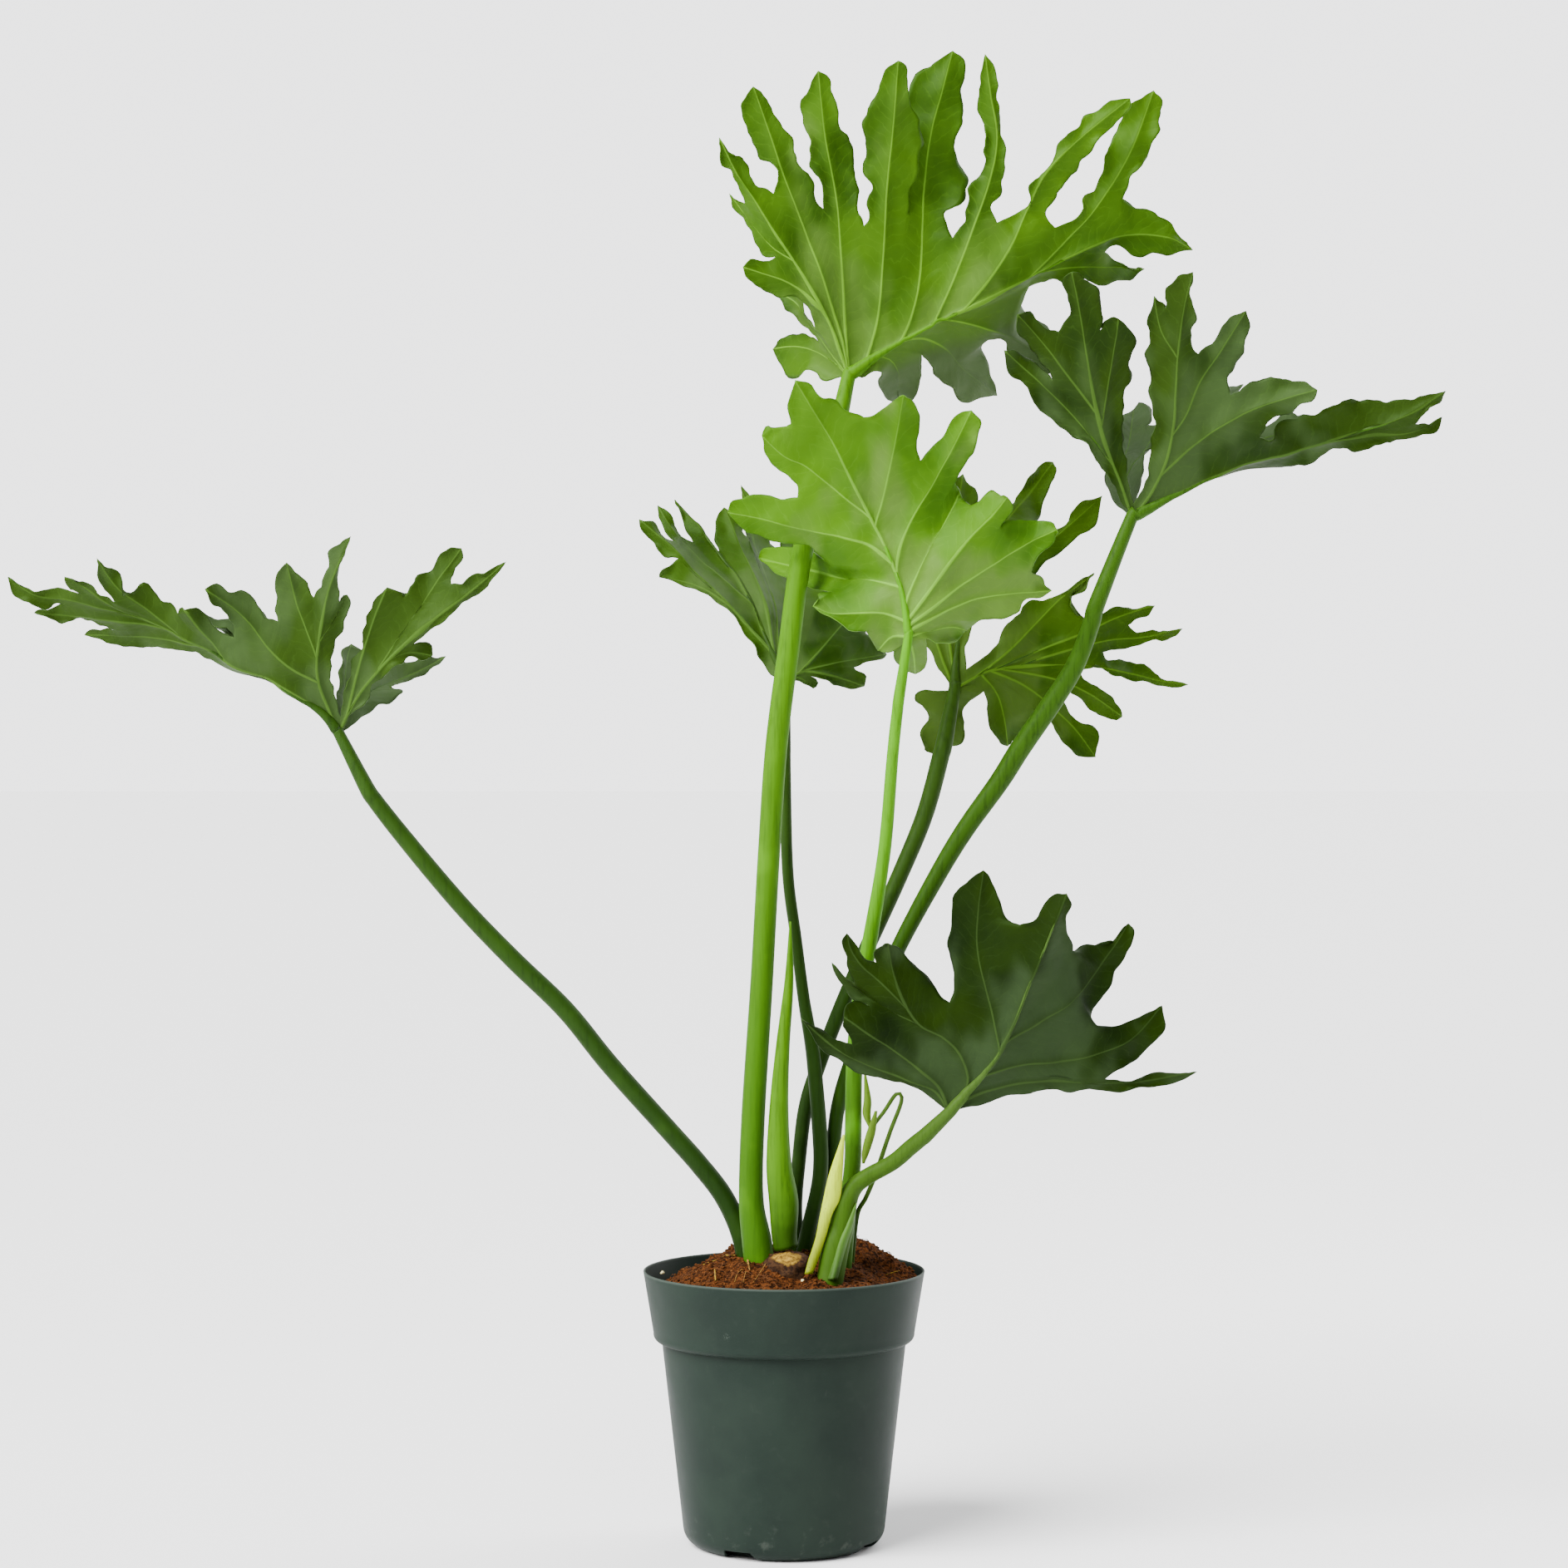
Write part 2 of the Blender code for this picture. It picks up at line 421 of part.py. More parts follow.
# Stalks from the soil up to the blade: (x, z, y, radius), millimetres
STALKS = {
    "top": [(-13, 150, -14, 8.6), (-15.7, 175.6, -14, 8.8), (-19.2, 202, -14, 7.2),
            (-18, 250, -14, 6.9), (-13, 329, -14, 6.6), (-9, 400, -13, 6.5),
            (-4.5, 466, -12, 6.5), (3, 525, -10, 6.3), (10.6, 579, -8, 6.2),
            (24, 628, -4, 5.8), (35, 660, 2, 5.2)],
    "centre": [(34, 150, -19.5, 4.9), (37, 191, -22, 5.0), (40.3, 222, -24, 4.9),
               (40.6, 241, -26, 4.9), (41.3, 280, -28, 4.8), (44.2, 314.5, -29, 4.7),
               (48.9, 344, -31, 4.5), (56.4, 388, -34, 3.9), (60.2, 417, -37, 3.7),
               (64.2, 466, -42, 3.4), (69, 508, -47, 3.2)],
    "right": [(18, 150, 14, 4.3), (20.3, 183, 14, 4.3), (27.6, 222, 14, 4.3),
              (31.5, 254, 13, 4.3), (38.9, 280, 13, 4.4), (53, 316, 12, 4.5),
              (67.4, 349, 12, 4.6), (88.3, 388, 11, 5.2), (105.7, 417, 10, 5.6),
              (126.4, 446, 8, 6.0), (139, 466, 7, 6.2), (157, 492, 6, 6.0),
              (170.7, 514, 5, 5.6), (180, 538, 4, 5.2), (188, 566, 3, 4.8)],
    "rear_right": [(8, 150, 14, 4.2), (7.2, 178, 14, 4.2), (6.7, 199, 15, 4.2),
                   (8.6, 222, 15, 4.2), (12.5, 254, 16, 4.3), (19.8, 278, 17, 4.4),
                   (31.8, 309.6, 19, 4.5), (46.7, 344, 22, 4.7), (66.6, 388, 27, 5.0),
                   (82.7, 427, 31, 5.2), (93.3, 466, 34, 5.2), (97, 480, 35, 4.6)],
    "low": [(26.5, 150, -43, 7.6), (30.3, 173, -40, 8.0), (33, 184, -38, 7.7),
            (36.2, 198, -38, 6.4), (41, 208, -38, 5.2), (49, 214.5, -40, 4.8),
            (64.2, 223, -46, 4.6), (74.9, 232, -52, 4.6), (86, 241, -60, 4.4)],
    "rear_left": [(9, 150, 2, 4.6), (13.3, 178, 2, 4.6), (19.8, 206, 4, 4.5),
                  (21.6, 222, 4.5, 4.5), (21, 241, 5, 4.5), (17.9, 278, 5, 4.3),
                  (15.7, 295, 5, 4.0), (11.6, 319, 6, 3.6), (7.2, 353.5, 7, 3.4),
                  (2.3, 392.5, 9, 3.4), (0.8, 449, 14, 3.4), (0.8, 480, 18, 3.3)],
    "left": [(-20, 150, 2, 5.8), (-24.5, 178, 2, 5.8), (-34.8, 202, 2, 5.8),
             (-50, 222, 1, 5.8), (-67, 241, 1, 5.8), (-102, 280, 0, 5.8),
             (-128, 312, 0, 5.7), (-158, 341, 0, 5.6), (-187, 371, 0, 5.4),
             (-216, 405, -2, 5.2), (-240.5, 436, -5, 4.8), (-251, 454, -7, 4.2)],
}

# Rolled leaf that hasn't opened: (x, z, y, radius), millimetres
SPEAR = [(1.5, 172.2, -23, 7.2), (0.3, 180, -23, 7.6), (0, 200, -24, 8.8), (-2.8, 222, -24, 7.5),
         (-2.8, 256, -24, 5.6), (-0.5, 292, -24, 4.1), (3, 329, -23, 2.7), (3.8, 364, -22, 0.6)]

# Thin brown side shoot that bends back at its top: (x, z, y, radius), millimetres
SIDE_SHOOT = [(39, 150, -9, 1.4), (40, 166, -10, 1.4), (43, 192, -14, 1.4), (48, 202, -20, 1.4),
              (54, 216.5, -27, 1.4), (62, 240, -34, 1.3), (69, 259, -39, 1.2),
              (66, 263, -39, 1.2), (59, 253, -37, 1.2), (53, 245, -35, 1.1), (50, 240, -33, 1.0)]

# Dry scales: (x, z, y, half width), millimetres
SCALE_THICKNESS = 1.4
CATAPHYLL = [(14.4, 157.2, -48, 2.4), (17, 165, -47, 2.9), (21.3, 178, -46.7, 3.0),
             (24.7, 192, -46.4, 3.6), (28.1, 202, -45.4, 4.9), (30.6, 217, -45, 3.9),
             (35, 239, -40, 0.7)]
BRACT = [(46.5, 222, -35, 0.8), (48.2, 230, -35.7, 2.4), (51.2, 241, -37.3, 2.6),
         (54, 253, -40.2, 0.8)]
HUSK = [(50.5, 243, -31.6, 0.8), (48.5, 251, -30.8, 2.4), (49, 260, -30.6, 2.2),
        (47.5, 275, -31, 0.6)]

# Short woody base of the plant, metres
TRUNK_RADIUS = 0.0130
TRUNK_X = 0.0070
TRUNK_Y = -0.0290
TRUNK_FOOT = 0.1400
TRUNK_TOP = 0.1742

COLOURS = {
    "pot": ((0.060, 0.066, 0.058), 0.42),
    "soil": ((0.055, 0.030, 0.020), 0.95),
    "trunk": ((0.130, 0.075, 0.038), 0.80),
    "bright stalk": ((0.290, 0.370, 0.085), 0.42),
    "dark stalk": ((0.095, 0.140, 0.050), 0.42),
    "bright blade": ((0.300, 0.400, 0.110), 0.45),
    "dark blade": ((0.085, 0.125, 0.060), 0.40),
    "dry scale": ((0.330, 0.200, 0.105), 0.80),
    "brown stalk": ((0.190, 0.105, 0.050), 0.70),
}
BRIGHT = ("top", "centre")


def spaced(points, least=2):
    """Places about STATION apart on the smooth curve through the points."""
    knots = np.array(points, dtype=float)
    length = np.linalg.norm(np.diff(knots, axis=0), axis=1).sum()
    return smooth_line(knots, max(least, round(length / STATION)))


def on_line(line, at):
    """Place at a fractional index of a list of places."""
    k = min(int(at), len(line) - 2)
    return line[k] + (line[k + 1] - line[k]) * (at - k)


def far_place(rib, point, turn, size):
    """Place of a near-half point carried over to the far half by a turn about the rib."""
    line = np.array(rib, dtype=float)
    ahead = line[len(line) // 2, :2] - line[0, :2]
    ahead /= np.linalg.norm(ahead)
    up = np.array([-ahead[1], ahead[0]]) * math.copysign(1.0, ahead[0])
    run = (line[:, :2] - line[0, :2]) @ ahead
    rise = (line[:, :2] - line[0, :2]) @ up
    along = float((np.array(point[:2]) - line[0, :2]) @ ahead)
    off = float((np.array(point[:2]) - line[0, :2]) @ up) - np.interp(along, run, rise)
    base = line[0, :2] + ahead * along + up * np.interp(along, run, rise)
    drawn = base + up * off * size * math.cos(turn)
    depth = np.interp(along, run, line[:, 2]) + off * size * math.sin(turn)
    return (drawn[0], drawn[1], depth)


def far_lobes(blade, far):
    """Lobes of the half behind the rib, copied from the near half and turned."""
    angle, size, names, side, join = far
    turn = math.radians(angle)
    order = [lobe[0] for lobe in blade["lobes"]]
    lobes = []
    for name in names:
        near = blade["lobes"][order.index(name)]
        before = blade["lobes"][order.index(name) - 1]
        parent = near[1] if near[1] == "rib" else near[1] + "_far"
        vein, rise, fall = ([far_place(blade["rib"], p, turn, size) for p in points]
                            for points in (near[3], near[5][::-1], near[4][::-1]))
        notch = far_place(blade["rib"], before[6], turn, size)
        if join and name == names[-1]:
            notch = join
        lobes.append((name + "_far", parent, None, vein, rise, fall, notch))
    flank = [far_place(blade["rib"], p, turn, size) for p in side]
    if blade["lobes"][-1][6] is None:
        lobes[0][4][:0] = flank
    else:
        lobes[-1][5].extend(flank)
    return lobes


def all_lobes(name):
    """A blade's lobes in order around it, the far half with them."""
    blade = BLADES[name]
    lobes = list(blade["lobes"])
    if name in FAR_HALVES:
        far = far_lobes(blade, FAR_HALVES[name])
        lobes = far + lobes if lobes[-1][6] is None else lobes + far
    return lobes


def vein_paths(rib, lobes):
    """Places of the veins, and for each lobe the places from the stalk out to its tip."""
    places = list(spaced(rib, 4))
    paths = {"rib": list(range(len(places)))}
    waiting = [lobe for lobe in lobes if lobe[0] != "end"]
    while waiting:
        name, parent, lean, vein = waiting[0][:4]
        lobe = waiting.pop(0)
        if parent not in paths:
            waiting.append(lobe)
            continue
        stem = paths[parent]
        gaps = [np.linalg.norm(places[i][:2] - np.array(vein[0][:2])) for i in stem[:-2]]
        k = int(np.argmin(gaps))
        root = places[stem[k]]
        if lean is None:
            line = spaced([root] + vein[1:])
        else:
            flat = spaced([root[:2]] + vein[1:])
            share = np.linspace(0.0, 1.0, len(flat))
            line = np.column_stack([flat, root[2] + lean * share ** LEAN_POWER])
        paths[name] = stem[:k + 1] + list(range(len(places), len(places) + len(line) - 1))
        places.extend(line[1:])
    paths["end"] = paths["rib"]
    return places, paths


def edge_line(start, between, tip, vein_depths):
    """Places on the edge from a notch to a tip, with its small waves."""
    points = np.array([start[:2]] + [p[:2] for p in between] + [tip[:2]], dtype=float)
    flat = spaced(points)
    share = np.linspace(0.0, 1.0, len(flat))
    if between and len(between[0]) == 3:
        reach = np.concatenate([[0], np.cumsum(np.linalg.norm(np.diff(points, axis=0), axis=1))])
        depths = [start[2]] + [p[2] for p in between] + [tip[2]]
        depth = np.interp(share * reach[-1], reach, depths)
    else:
        along_vein = np.linspace(0.0, 1.0, len(vein_depths))
        depth = np.interp(share, along_vein, vein_depths)
        depth += (start[2] - vein_depths[0]) * (1.0 - share) ** EDGE_POWER
    along = np.gradient(flat, axis=0)
    along /= np.linalg.norm(along, axis=1)[:, None]
    length = np.linalg.norm(np.diff(flat, axis=0), axis=1).sum() * share
    wave = EDGE_WAVE * np.sin(2 * math.pi * length / EDGE_WAVE_LENGTH) * np.sin(math.pi * share)
    flat = flat + np.column_stack([-along[:, 1], along[:, 0]]) * wave[:, None]
    return np.column_stack([flat, depth])


def zip_rows(row, row_at, border, border_at, flip):
    """Triangles between two rows of places, matched by how far along they are."""
    faces = []
    i = j = 0
    while i < len(row) - 1 or j < len(border) - 1:
        if j == len(border) - 1 or (i < len(row) - 1 and row_at[i + 1] <= border_at[j + 1]):
            face = (row[i], row[i + 1], border[j])
            i += 1
        else:
            face = (row[i], border[j + 1], border[j])
            j += 1
        if len(set(face)) == 3:
            faces.append(face[::-1] if flip else face)
    return faces


class Sheet:
    """A blade without thickness: places, triangles, rise off the surface and ridge depth."""

    def __init__(self, name):
        self.lobes = all_lobes(name)
        self.places, self.paths = vein_paths(BLADES[name]["rib"], self.lobes)
        self.faces = []
        self.ruffle = {}
        self.ridge = {}
        self.mark_ridges()
        first = self.lobes[0]
        rail = self.paths[first[0]]
        self.add_border(rail, [rail[0]], first[4], True, None)
        for one, two in zip(self.lobes, self.lobes[1:]):
            self.add_sector(one, two)
        last = self.lobes[-1]
        rail = self.paths[last[0]]
        self.add_border(rail, [rail[0]], last[5][::-1], False, None)

    def mark_ridges(self):
        """Depth of the ribs under the blade, none where the stalk lies against it."""
        for name, path in self.paths.items():
            full = RIB_RIDGE if name in ("rib", "end") else VEIN_RIDGE
            for k, i in enumerate(path):
                share = k / (len(path) - 1)
                depth = full + (RIDGE_END - full) * share
                self.ridge[i] = max(self.ridge.get(i, 0.0), depth)
        rib = self.paths["rib"]
        for i in rib[:BARE_STATIONS]:
            self.ridge[i] = 0.0

    def add_sector(self, one, two):
        """Web and edges between two neighbouring lobes."""
        a, b = self.paths[one[0]], self.paths[two[0]]
        while len(a) > 1 and len(b) > 1 and a[1] == b[1]:
            a, b = a[1:], b[1:]
        notch = np.array(one[6][:2], dtype=float)
        lines = [np.array([self.places[i] for i in rail]) for rail in (a, b)]
        ends = []
        for line in lines:
            gaps = np.linalg.norm(line[1:-1, :2] - notch, axis=1)
            ends.append(1 + int(np.argmin(gaps)))
        middle = (lines[0][ends[0]] + lines[1][ends[1]]) / 2
        shift = np.zeros(3)
        shift[:len(one[6])] = np.array(one[6]) - middle[:len(one[6])]
        reach = np.linalg.norm(notch - lines[0][0][:2])
        count = max(1, round(reach / STATION))
        web = [a[0]]
        for k in range(1, count + 1):
            share = k / count
            halves = [on_line(line, share * end) for line, end in zip(lines, ends)]
            web.append(self.add_place((halves[0] + halves[1]) / 2 + shift * share ** WEB_POWER))
        self.add_border(a, web, one[5][::-1], False, ends[0])
        self.add_border(b, web, two[4], True, ends[1])

    def add_place(self, spot):
        self.places.append(spot)
        return len(self.places) - 1

    def add_border(self, rail, web, between, flip, end):
        """Triangles from a vein to the web's middle line and on along the lobe's edge."""
        depths = [self.places[i][2] for i in rail[end or 0:]]
        edge = edge_line(self.places[web[-1]], between, self.places[rail[-1]], depths)
        outer = [web[-1]] + [self.add_place(spot) for spot in edge[1:-1]] + [rail[-1]]
        for k, i in enumerate(outer[1:-1], 1):
            self.ruffle[i] = math.sin(math.pi * k / (len(outer) - 1))
        border = web[:-1] + outer
        last = len(rail) - 1
        if end is None:
            rail_at = [k / last for k in range(last + 1)]
            border_at = [k / (len(border) - 1) for k in range(len(border))]
        else:
            rail_at = [k / end if k <= end else 1 + (k - end) / (last - end)
                       for k in range(last + 1)]
            border_at = [k / (len(web) - 1) for k in range(len(web))]
            border_at += [1 + k / (len(outer) - 1) for k in range(1, len(outer))]
        line = np.array([self.places[i] for i in border])
        row = rail
        for share in ROWS[1:-1]:
            inner = [rail[0]]
            for k in range(1, last):
                at = np.interp(rail_at[k], border_at, range(len(border)))
                spot = self.places[rail[k]] * (1 - share) + on_line(line, at) * share
                inner.append(self.add_place(spot))
            inner.append(rail[-1])
            self.faces += zip_rows(row, rail_at, inner, rail_at, flip)
            row = inner
        self.faces += zip_rows(row, rail_at, border, border_at, flip)


def sheet_normals(points, faces):
    """Direction of the upper side at each place."""
    total = [Vector((0.0, 0.0, 0.0)) for _ in points]
    for a, b, c in faces:
        normal = (points[b] - points[a]).cross(points[c] - points[a])
        for i in (a, b, c):
            total[i] += normal
    return [normal.normalized() for normal in total]


def rim_edges(faces):
    """Edges with a face on one side only, in that face's direction."""
    sides = [(face[k], face[(k + 1) % 3]) for face in faces for k in range(3)]
    known = set(sides)
    return [side for side in sides if (side[1], side[0]) not in known]


def make_blade(name, collection, material):
    """One leaf blade as a closed thin solid with ribs below; returns its rib's run."""
    sheet = Sheet(name)
    points = [place(*spot) for spot in sheet.places]
    normals = sheet_normals(points, sheet.faces)
    for i, share in sheet.ruffle.items():
        x, z = sheet.places[i][:2]
        points[i] = points[i] + normals[i] * (share * RUFFLE * MM * math.sin(x / 9.0 + z / 7.0))
    normals = sheet_normals(points, sheet.faces)
    half = BLADE_THICKNESS * MM / 2
    count = len(points)
    upper = [p + n * half for p, n in zip(points, normals)]
    lower = [p - n * (half + sheet.ridge.get(i, 0.0) * MM)
             for i, (p, n) in enumerate(zip(points, normals))]
    faces = list(sheet.faces)
    faces += [(c + count, b + count, a + count) for a, b, c in sheet.faces]
    for a, b in rim_edges(sheet.faces):
        faces.append((b, a, a + count))
        faces.append((b, a + count, b + count))
    mesh = bpy.data.meshes.new(name)
    mesh.from_pydata(upper + lower, [], faces)
    mesh.update()
    mesh.shade_smooth()
    mesh.set_sharp_from_angle(angle=math.radians(50.0))
    add_object(name, mesh, collection, material)
    return [(points[i], normals[i]) for i in sheet.paths["rib"][:BARE_STATIONS]]


def add_object(name, data, collection, material=None):
    thing = bpy.data.objects.new(name, data)
    collection.objects.link(thing)
    if material is not None:
        data.materials.append(material)
    return thing


def make_tube(name, points, collection, material=None):
    """A round stalk through (point, radius) pairs in metres."""
    curve = bpy.data.curves.new(name, "CURVE")
    curve.dimensions = "3D"
    curve.bevel_depth = 1.0
    curve.bevel_resolution = 2
    curve.use_fill_caps = True
    spline = curve.splines.new("POLY")
    spline.points.add(len(points) - 1)
    for knot, (spot, radius) in zip(spline.points, points):
        knot.co = (spot[0], spot[1], spot[2], 1.0)
        knot.radius = radius
    spline.use_smooth = True
    return add_object(name, curve, collection, material)


def tube_run(rows, count):
    """(point, radius) pairs evenly along the smooth curve through drawn rows."""
    drawn = smooth_line(rows, count)
    return [(place(x, z, y), radius * MM) for x, z, y, radius in drawn]


def stalk_run(rows, rib):
    """A stalk's points, ending under the blade along the first stretch of its rib."""
    points = tube_run(rows, STALK_POINTS)
    (root, normal), (onward, next_normal) = rib
    for spot, side, radius in ((root, normal, STALK_END * MM),
                               (root.lerp(onward, STALK_RUN), normal.lerp(next_normal, STALK_RUN),
                                STALK_TIP * MM)):
        points.append((spot - side * (BLADE_THICKNESS * MM / 2 + STALK_GAP + radius), radius))
    return points


def cutter_mesh(name, points, collection):
    """A fatter, slightly deeper copy of a stalk, as a mesh that cuts its hole."""
    (first, radius), second = points[0], points[1][0]
    deeper = first + (first - second).normalized() * HOLE_CLEARANCE
    fat = [(deeper, radius)] + points[1:]
    fat = [(spot, size + HOLE_CLEARANCE) for spot, size in fat]
    tube = make_tube(name + "_curve", fat, collection)
    bpy.context.view_layer.update()
    mesh = bpy.data.meshes.new_from_object(tube.evaluated_get(bpy.context.evaluated_depsgraph_get()))
    bpy.data.objects.remove(tube)
    edit = bmesh.new()
    edit.from_mesh(mesh)
    bmesh.ops.remove_doubles(edit, verts=edit.verts, dist=1e-6)
    bmesh.ops.recalc_face_normals(edit, faces=edit.faces)
    edit.to_mesh(mesh)
    edit.free()
    return hide_cutter(add_object(name, mesh, collection))


def hide_cutter(cutter):
    cutter.hide_render = True
    cutter.display_type = "WIRE"
    return cutter


def make_strap(name, rows, collection, material):
    """A thin dry scale: a flat band of changing width that faces the front."""
    drawn = smooth_line(rows, 2 * len(rows))
    half = SCALE_THICKNESS / 2
    edit = bmesh.new()
    rings = []
    for x, z, y, width in drawn:
        fold = 0.35 * width
        corners = ((-width, y + fold - half), (0.0, y - half), (width, y + fold - half),
                   (width, y + fold + half), (0.0, y + half), (-width, y + fold + half))
        rings.append([edit.verts.new(place(x + dx, z, depth)) for dx, depth in corners])
    for low, high in zip(rings, rings[1:]):
        for k in range(6):
            n = (k + 1) % 6
            edit.faces.new((low[k], low[n], high[n], high[k]))
    edit.faces.new(rings[0][::-1])
    edit.faces.new(rings[-1])
    bmesh.ops.recalc_face_normals(edit, faces=edit.faces)
    bmesh.ops.triangulate(edit, faces=edit.faces)
    mesh = bpy.data.meshes.new(name)
    edit.to_mesh(mesh)
    edit.free()
    add_object(name, mesh, collection, material)


def arc(centre, radius, start, end, count):
    """Places on an arc in the (radius, height) plane, angles in degrees."""
    turns = [math.radians(start + (end - start) * k / count) for k in range(count + 1)]
    return [(centre[0] + radius * math.cos(t), centre[1] + radius * math.sin(t)) for t in turns]


def make_turned(name, profile, steps, collection, material=None):
    """A turned solid about the Z axis, its profile running down the outside."""
    mesh = bpy.data.meshes.new(name)
    edges = [(k, k + 1) for k in range(len(profile) - 1)]
    mesh.from_pydata([(r, 0.0, z) for r, z in profile], edges, [])
    thing = add_object(name, mesh, collection, material)
    screw = thing.modifiers.new("Turn", "SCREW")
    screw.axis = "Z"
    screw.steps = steps
    screw.render_steps = steps
    screw.use_merge_vertices = True
    screw.merge_threshold = 0.00001
    screw.use_smooth_shade = True
    return thing


def pot_wall(inset):
    """Pot profile from under the rim down to the foot, moved in by a distance."""
    collar_foot = RIM_HEIGHT - COLLAR_HEIGHT
    return ([(RIM_RADIUS - inset, RIM_HEIGHT - LIP_ROUND)]
            + arc((COLLAR_RADIUS - COLLAR_ROUND, collar_foot + COLLAR_ROUND),
                  COLLAR_ROUND - inset, 8.0, -82.0, 4)
            + [(BODY_TOP_RADIUS - inset, collar_foot - 0.0005 + inset),
               (BODY_TOP_RADIUS - inset, collar_foot - 0.003)]
            + arc((BODY_FOOT_RADIUS - FOOT_HEIGHT, FOOT_HEIGHT), FOOT_HEIGHT - inset,
                  -6.0, -90.0, 5))


def make_pot(collection, cutters, material):
    """Nursery pot: a tapered wall, a wide collar at the rim and four notches in the foot."""
    outside = pot_wall(0.0)
    inside = pot_wall(WALL)[::-1]
    lip = [(RIM_RADIUS - WALL + LIP_ROUND / 3, RIM_HEIGHT),
           (RIM_RADIUS - LIP_ROUND / 3, RIM_HEIGHT)]
    inside[0] = (inside[0][0], FLOOR_THICKNESS)
    profile = [(0.0, FLOOR_THICKNESS)] + inside + lip + outside + [(0.0, 0.0)]
    pot = make_turned("pot", profile, STEPS, collection, material)
    for k in range(NOTCH_COUNT):
        cutter = make_notch("notch_%d" % (k + 1), NOTCH_TURN + 2 * math.pi * k / NOTCH_COUNT, cutters)
        cut = pot.modifiers.new("Notch %d" % (k + 1), "BOOLEAN")
        cut.operation = "DIFFERENCE"
        cut.solver = "EXACT"
        cut.object = cutter


def make_notch(name, turn, cutters):
    """Cutter for one trapezoid notch where the wall meets the foot."""
    edit = bmesh.new()
    bmesh.ops.create_cube(edit, size=1.0)
    for vert in edit.verts:
        top = vert.co.z > 0
        width = NOTCH_TOP_WIDTH if top else NOTCH_WIDTH
        vert.co.x = NOTCH_IN if vert.co.x < 0 else NOTCH_OUT
        vert.co.y = math.copysign(width / 2, vert.co.y)
        vert.co.z = NOTCH_HEIGHT if top else -NOTCH_HEIGHT
    mesh = bpy.data.meshes.new(name)
    edit.to_mesh(mesh)
    edit.free()
    cutter = add_object(name, mesh, cutters)
    cutter.rotation_euler = (0.0, 0.0, turn)
    return hide_cutter(cutter)


def soil_height(x, y):
    """Height of the mounded, lumpy potting mix at a place."""
    share = min(1.0, math.hypot(x, y) / SOIL_RADIUS)
    mound = SOIL_MOUND * math.cos(share * math.pi / 2) ** 1.2
    lumps = (math.sin(x * 310.0 + 1.0) * math.sin(y * 270.0)
             + 0.6 * math.sin(x * 520.0 + y * 610.0 + 2.0))
    return SOIL_EDGE + mound + SOIL_LUMP * lumps * (1.0 - share ** 4) - SOIL_TILT * y * share


def make_soil(collection, material, stems, cutters):
    """Potting mix that fills the pot, with a plain hole for each stem."""
    wall = pot_wall(WALL + GAP)
    top = [(SOIL_RADIUS * k / SOIL_RINGS, SOIL_EDGE) for k in range(SOIL_RINGS + 1)]
    foot = FLOOR_THICKNESS + GAP
    below = [(r, z) for r, z in wall[1:] if z > foot]
    profile = top + below + [(wall[-1][0], foot), (0.0, foot)]
    soil = make_turned("soil_turned", profile, STEPS, collection)
    bpy.context.view_layer.update()
    mesh = bpy.data.meshes.new_from_object(soil.evaluated_get(bpy.context.evaluated_depsgraph_get()))
    bpy.data.objects.remove(soil)
    edit = bmesh.new()
    edit.from_mesh(mesh)
    for vert in edit.verts:
        if abs(vert.co.z - SOIL_EDGE) < 1e-6:
            vert.co.z = soil_height(vert.co.x, vert.co.y)
    bmesh.ops.triangulate(edit, faces=edit.faces)
    edit.to_mesh(mesh)
    edit.free()
    soil = add_object("soil", mesh, collection, material)
    for name, points in stems:
        cutter = cutter_mesh("hole_" + name, points, cutters)
        cut = soil.modifiers.new("Hole " + name, "BOOLEAN")
        cut.operation = "DIFFERENCE"
        cut.solver = "EXACT"
        cut.object = cutter


def make_material(name):
    colour, roughness = COLOURS[name]
    material = bpy.data.materials.new(name)
    material.use_nodes = True
    shader = material.node_tree.nodes["Principled BSDF"]
    shader.inputs["Base Color"].default_value = (*colour, 1.0)
    shader.inputs["Roughness"].default_value = roughness
    shader.inputs["Metallic"].default_value = 0.0
    return material


def add_collection(name):
    collection = bpy.data.collections.new(name)
    bpy.context.scene.collection.children.link(collection)
    return collection


def main():
    for thing in list(bpy.data.objects):
        bpy.data.objects.remove(thing)
    plant = add_collection("potted_hope_philodendron")
    cutters = add_collection("cutters")
    stems = []
    for name, rows in STALKS.items():
        tone = "bright" if name in BRIGHT else "dark"
        rib = make_blade("blade_" + name, plant, make_material(tone + " blade"))
        run = stalk_run(rows, rib)
        make_tube("petiole_" + name, run, plant, make_material(tone + " stalk"))
        stems.append((name, run))
    make_tube("new_leaf", tube_run(SPEAR, STALK_POINTS), plant, make_material("bright stalk"))
    shoot = tube_run(SIDE_SHOOT, 2 * len(SIDE_SHOOT))
    make_tube("side_shoot", shoot, plant, make_material("brown stalk"))
    stems.append(("side_shoot", shoot))
    for name, rows in (("cataphyll", CATAPHYLL), ("bract", BRACT), ("husk", HUSK)):
        make_strap(name, rows, plant, make_material("dry scale"))
    base = Vector((TRUNK_X, TRUNK_Y, 0.0))
    trunk = [(base + Vector((0.0, 0.0, z)), r) for z, r in
             ((TRUNK_FOOT, TRUNK_RADIUS), (TRUNK_TOP - 0.003, TRUNK_RADIUS),
              (TRUNK_TOP, TRUNK_RADIUS - 0.002))]
    make_tube("trunk", trunk, plant, make_material("trunk"))
    stems.append(("trunk", trunk))
    make_pot(plant, cutters, make_material("pot"))
    make_soil(plant, make_material("soil"), stems, cutters)


main()
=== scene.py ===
import math

